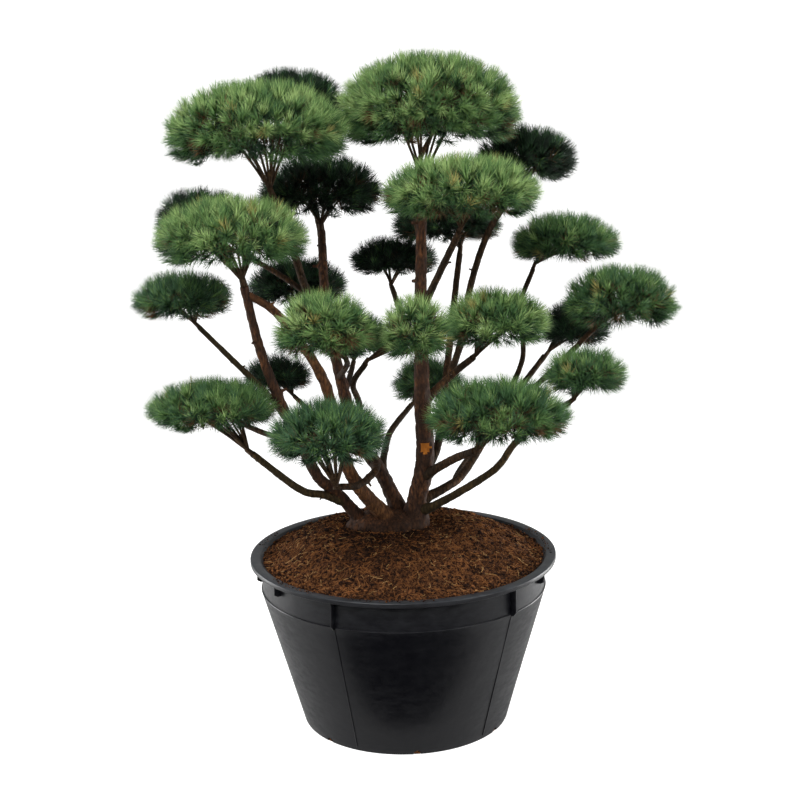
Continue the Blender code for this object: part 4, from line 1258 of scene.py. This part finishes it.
def place_shoots(pad, cushion, planned, rng):
    """Shoots all over a cushion that keep clear of the limbs and of the other cushions."""
    middle, across, deep, _, down = pad_frame(pad)
    count = round(cushion.shoots_per_area * math.pi * across * deep)
    rim_count = round(cushion.rim_share * count)
    low_count = round(cushion.low_share * count)
    directions = spread_directions(count - rim_count - low_count, rim_count, low_count, rng)

    lobes = rng.integers(4, 7)
    phases = rng.random(3) * math.tau
    azimuth = np.arctan2(directions[:, 1], directions[:, 0])
    lump = (np.sin(lobes * azimuth + phases[0]) + np.sin((lobes + 3) * azimuth + phases[1])
            + np.sin(9 * directions[:, 2] + phases[2]) * 0.6)
    share = 0.990 + 0.030 * lump / 2.6 + rng.normal(0, 0.020, len(directions))
    share[::INNER_EVERY] *= INNER_DEPTH
    skin = skin_point(pad, directions, np.minimum(share, 1.02))

    normal = directions / reaches(pad, directions)
    normal /= np.linalg.norm(normal, axis=1, keepdims=True)
    beneath = directions[:, 2] < 0
    normal[beneath, 2] = -0.05 + 0.40 * directions[beneath, 2]
    normal[beneath, :2] /= np.linalg.norm(normal[beneath, :2], axis=1, keepdims=True)
    upright = np.array([0, 0, 1.0]) * (0.04 + 0.40 * np.maximum(directions[:, 2:], 0))
    heads = normal + upright + rng.normal(0, 0.19, normal.shape)
    heads /= np.linalg.norm(heads, axis=1, keepdims=True)

    length = cushion.needle_length * rng.uniform(0.86, 1.08, len(heads))
    tops = skin - heads * (0.80 * length + np.abs(rng.normal(0, 0.004, len(heads))))[:, None]
    roots = tops - heads * rng.uniform(0.026, 0.044, len(heads))[:, None]
    roots[:, 2] = np.maximum(roots[:, 2], middle[2] - 0.75 * down)
    free = clear_of_limbs(tops, planned, pad.carrier)
    for other in PADS:
        if other is not pad:
            free &= depth_in(other, tops + heads * 0.02) > 1.0
    return Shoots(*(a[free] for a in (directions, heads, tops, roots, length)))


def grow_twigs(pad, shoots, route, radii, rng):
    """Twigs from the limb's end to elbows, on to knees and on to the shoots, as rows of bars."""
    _, across, _, _, down = pad_frame(pad)
    foot = np.array(route[-1])
    heading = np.array((route[-1] - route[-2]).normalized())
    hub = foot + heading * STEM_LENGTH
    fans = max(12, len(shoots.tops) // 13)
    fan_dirs = spread_directions(fans, 0, 0, rng)
    fan_dirs[:, 2] *= 0.45
    knees = skin_point(pad, fan_dirs, rng.uniform(0.50, 0.72, fans))
    knees[:, 2] -= 0.10 * down
    mains = 7 + (across > 0.14) * 3
    azimuth = np.arange(mains) * math.tau / mains + rng.normal(0, 0.12, mains)
    arms = np.stack([np.cos(azimuth), np.sin(azimuth), rng.uniform(-0.25, 0.15, mains)], 1)
    elbows = skin_point(pad, arms, rng.uniform(0.28, 0.40, mains))
    inner = np.repeat((hub - heading * STEM_LENGTH / 3)[None], mains, 0)
    rows = [(foot[None] - heading * 0.004, hub[None], 1.02 * radii[-1], 0.85 * radii[-1])]
    rows += bent(inner, elbows, 0.010, 0.0042, 0.0030, 3)
    rows += bent(elbows[nearest_of(knees, elbows)], knees, -0.006, 0.0026, 0.0017, 2)
    rows.append((knees[nearest_of(shoots.roots, knees)], shoots.roots, 0.0015, 0.0012))
    rows.append((shoots.roots, shoots.tops, 0.0013, 0.0010))
    return rows


def grow_needles(pad, each, shoots, rng):
    """Roots, tips and colours of the needles that stand in a spiral round each shoot."""
    _, heads, tops, roots, length = shoots
    steps = (np.arange(each) + 0.5) / each
    along, side, up = frames_of(heads)
    spin = np.arange(each)[None] * GOLDEN_ANGLE + rng.random(len(tops))[:, None] * math.tau
    lean = np.radians(56 - 44 * steps)[None] + rng.normal(0, 0.12, spin.shape)
    base = roots[:, None] + (0.25 + 0.78 * steps)[None, :, None] * (tops - roots)[:, None]
    out = np.cos(spin)[..., None] * side[:, None] + np.sin(spin)[..., None] * up[:, None]
    ways = np.cos(lean)[..., None] * along[:, None] + np.sin(lean)[..., None] * out
    far = length[:, None] * rng.uniform(0.82, 1.06, spin.shape)
    tips = base + far[..., None] * ways
    inside, outside = depth_in(pad, base), depth_in(pad, tips)
    cut = np.clip((NEEDLE_END - inside) / np.maximum(outside - inside, 1e-6), 0.35, 1.0)
    tips = np.where(outside[..., None] > NEEDLE_END, base + (cut * far)[..., None] * ways, tips)

    names = list(NEEDLE_COLOURS)
    picks = []
    for odds in (TONES[pad.tone], SHADE_AND_OLD_TONES[pad.tone]):
        shares = np.array([odds.get(name, 0.0) for name in names])
        picks.append(rng.choice(len(names), len(tops), p=shares / shares.sum())[:, None])
    # Painted shade: shoots on the underside take the darker colours, as do the older needles low on
    # every shoot
    in_shade = shoots.directions[:, 2] + rng.normal(0, 0.14, len(tops)) < -0.12
    tint = np.where((steps[None] < 0.42) | in_shade[:, None], picks[1], picks[0])
    # Painted highlights: a share of the needles take the next paler colour
    highlight_of = np.array([names.index(HIGHLIGHT_TONE.get(name, name)) for name in names])
    tint = np.where(rng.random(tint.shape) < HIGHLIGHT_SHARE, highlight_of[tint], tint)
    return base.reshape(-1, 3), tips.reshape(-1, 3), tint.reshape(-1)


def build_cushions(cushion, limbs):
    planned = plan_limbs(limbs.spacing, limbs.flare)
    colours = [plain("needle_" + name, colour, 0.50, 0.22)
               for name, colour in NEEDLE_COLOURS.items()]
    rows = []
    for number, pad in enumerate(PADS):
        rng = np.random.default_rng(SEED + 17 * number)
        shoots = place_shoots(pad, cushion, planned, rng)
        rows += grow_twigs(pad, shoots, *planned[pad.carrier], rng)
        roots, tips, tint = grow_needles(pad, cushion.needles_per_shoot, shoots, rng)
        rng = np.random.default_rng(SEED + 31 * number)
        width = cushion.needle_width * rng.uniform(0.8, 1.15, len(roots))
        points, triangles = spikes_of(roots, tips, width, rng.random(len(roots)) * math.tau)
        needles = mesh_piece("needles_" + pad.name[4:], points, triangles, colours,
                             np.repeat(tint, len(SPIKE_FACES)))
        keep(needles, [pad.name])
    points, triangles = all_bars(rows)
    twigs = mesh_piece("twigs", points, triangles, [bark("twig_bark", 0.15)],
                       np.zeros(len(triangles)))
    keep(twigs)


# Stage

def build_backdrop(stage):
    """Floor that curves up into a wall, and washes out to white for the camera alone."""
    bm = bmesh.new()
    bend = [math.radians(7.5 * k) for k in range(1, 13)]
    line = [(FLOOR_NEAR, 0.0), (FLOOR_FAR, 0.0)]
    line += [(FLOOR_FAR + FLOOR_BEND * math.sin(a), FLOOR_BEND * (1 - math.cos(a))) for a in bend]
    line.append((FLOOR_FAR + FLOOR_BEND, BACKDROP_TOP))
    verts = [bm.verts.new((-BACKDROP_HALF_WIDTH, y, z - FLOOR_DROP)) for y, z in line]
    edges = [bm.edges.new(pair) for pair in zip(verts, verts[1:])]
    grown = bmesh.ops.extrude_edge_only(bm, edges=edges)["geom"]
    moved = [g for g in grown if isinstance(g, bmesh.types.BMVert)]
    bmesh.ops.translate(bm, verts=moved, vec=(2 * BACKDROP_HALF_WIDTH, 0, 0))
    bmesh.ops.recalc_face_normals(bm, faces=bm.faces)
    if bm.faces[0].normal.z < 0:
        bmesh.ops.reverse_faces(bm, faces=bm.faces)
    paper = plain("backdrop_paper", tuple(stage.floor_colour), 0.9, 0.1)
    shader = paper.node_tree.nodes["Principled BSDF"]
    shader.inputs["Emission Color"].default_value = (1.0, 1.0, 1.0, 1)
    seen = add_node(paper.node_tree, "LightPath", {}, "Is Camera Ray")
    glow = math_node(paper.node_tree, "MULTIPLY", seen, stage.floor_glow, clamp=False)
    paper.node_tree.links.new(glow, shader.inputs["Emission Strength"])
    return to_object(bm, "backdrop", [paper])


def build_flag():
    """Black cloth before the container, which shows in its sheen alone."""
    bm = bmesh.new()
    place = Matrix.Translation(FLAG_PLACE) @ Matrix.Diagonal(FLAG_HALF)
    bmesh.ops.create_circle(bm, cap_ends=True, segments=48, radius=1.0, matrix=place)
    flag = to_object(bm, "floor_flag", [plain("black_cloth", (0.002, 0.002, 0.002, 1), 1.0, 0.0)])
    flag.visible_camera = flag.visible_diffuse = flag.visible_shadow = False
    return flag


def build_stage(stage):
    scene = bpy.context.scene
    build_backdrop(stage)
    build_flag()
    scene.view_settings.view_transform = "Standard"

    world = bpy.data.worlds.new("studio")
    world.use_nodes = True
    sky = world.node_tree.nodes["Background"]
    sky.inputs["Color"].default_value = (1.0, 1.0, 1.0, 1)
    sky.inputs["Strength"].default_value = stage.sky
    scene.world = world
    for name, (place, size, share) in LIGHTS.items():
        lamp = bpy.data.lights.new(name, "AREA")
        lamp.shape = "RECTANGLE"
        lamp.size, lamp.size_y = size
        lamp.energy = share * stage.key
        holder = bpy.data.objects.new(name, lamp)
        holder.location = place
        holder.visible_camera = False
        holder.rotation_euler = (LIGHT_TARGET - Vector(place)).to_track_quat("-Z", "Y").to_euler()
        scene.collection.objects.link(holder)

    camera = bpy.data.cameras.new("camera")
    camera.sensor_width = SENSOR_WIDTH
    camera.lens = CAMERA_LENS
    eye = bpy.data.objects.new("camera", camera)
    eye.matrix_world = (Matrix.Translation(CAMERA_PLACE)
                        @ Matrix.Rotation(math.pi / 2 - CAMERA_DIP, 4, "X")
                        @ Matrix.Rotation(CAMERA_ROLL, 4, "Z"))
    scene.collection.objects.link(eye)
    scene.camera = eye


class PINE_OT_container(bpy.types.Operator):
    """Build the nursery container"""
    bl_idname = "pine.container"
    bl_label = "Container"

    def execute(self, context):
        build_container(context.scene.pine_container)
        return {"FINISHED"}


class PINE_OT_mulch(bpy.types.Operator):
    """Build the heap of mulch with its crumbs and fibres"""
    bl_idname = "pine.mulch"
    bl_label = "Mulch"

    def execute(self, context):
        build_mulch(context.scene.pine_mulch, context.scene.pine_container)
        return {"FINISHED"}


class PINE_OT_limbs(bpy.types.Operator):
    """Build the trunk, stems and boughs with their bark"""
    bl_idname = "pine.limbs"
    bl_label = "Stems and boughs"

    def execute(self, context):
        build_limbs(context.scene.pine_limbs)
        return {"FINISHED"}


class PINE_OT_cushions(bpy.types.Operator):
    """Grow the cushions of twigs and needles"""
    bl_idname = "pine.cushions"
    bl_label = "Cushions"

    def execute(self, context):
        build_cushions(context.scene.pine_cushions, context.scene.pine_limbs)
        return {"FINISHED"}


class PINE_OT_stage(bpy.types.Operator):
    """Set the floor, the lights and the camera"""
    bl_idname = "pine.stage"
    bl_label = "Stage"

    def execute(self, context):
        build_stage(context.scene.pine_stage)
        return {"FINISHED"}


class PINE_PT_panel(bpy.types.Panel):
    bl_idname = "PINE_PT_panel"
    bl_label = "Potted pine"
    bl_space_type = "VIEW_3D"
    bl_region_type = "UI"
    bl_category = "Pine"

    def draw(self, context):
        for operator, group in (("pine.container", "pine_container"), ("pine.mulch", "pine_mulch"),
                                ("pine.limbs", "pine_limbs"), ("pine.cushions", "pine_cushions"),
                                ("pine.stage", "pine_stage")):
            box = self.layout.box()
            box.operator(operator)
            settings = getattr(context.scene, group)
            for name in settings.__annotations__:
                box.prop(settings, name)


SETTINGS = {"pine_container": ContainerSettings, "pine_mulch": MulchSettings,
            "pine_limbs": LimbSettings, "pine_cushions": CushionSettings,
            "pine_stage": StageSettings}
CLASSES = list(SETTINGS.values()) + [PINE_OT_container, PINE_OT_mulch, PINE_OT_limbs,
                                     PINE_OT_cushions, PINE_OT_stage, PINE_PT_panel]


def register():
    for made in CLASSES:
        bpy.utils.register_class(made)
    for name, group in SETTINGS.items():
        setattr(bpy.types.Scene, name, bpy.props.PointerProperty(type=group))


def unregister():
    for name in SETTINGS:
        delattr(bpy.types.Scene, name)
    for made in reversed(CLASSES):
        bpy.utils.unregister_class(made)


def main():
    register()
    bpy.ops.pine.container()
    bpy.ops.pine.mulch()
    bpy.ops.pine.limbs()
    bpy.ops.pine.cushions()
    bpy.ops.pine.stage()


if __name__ == "__main__":
    main()
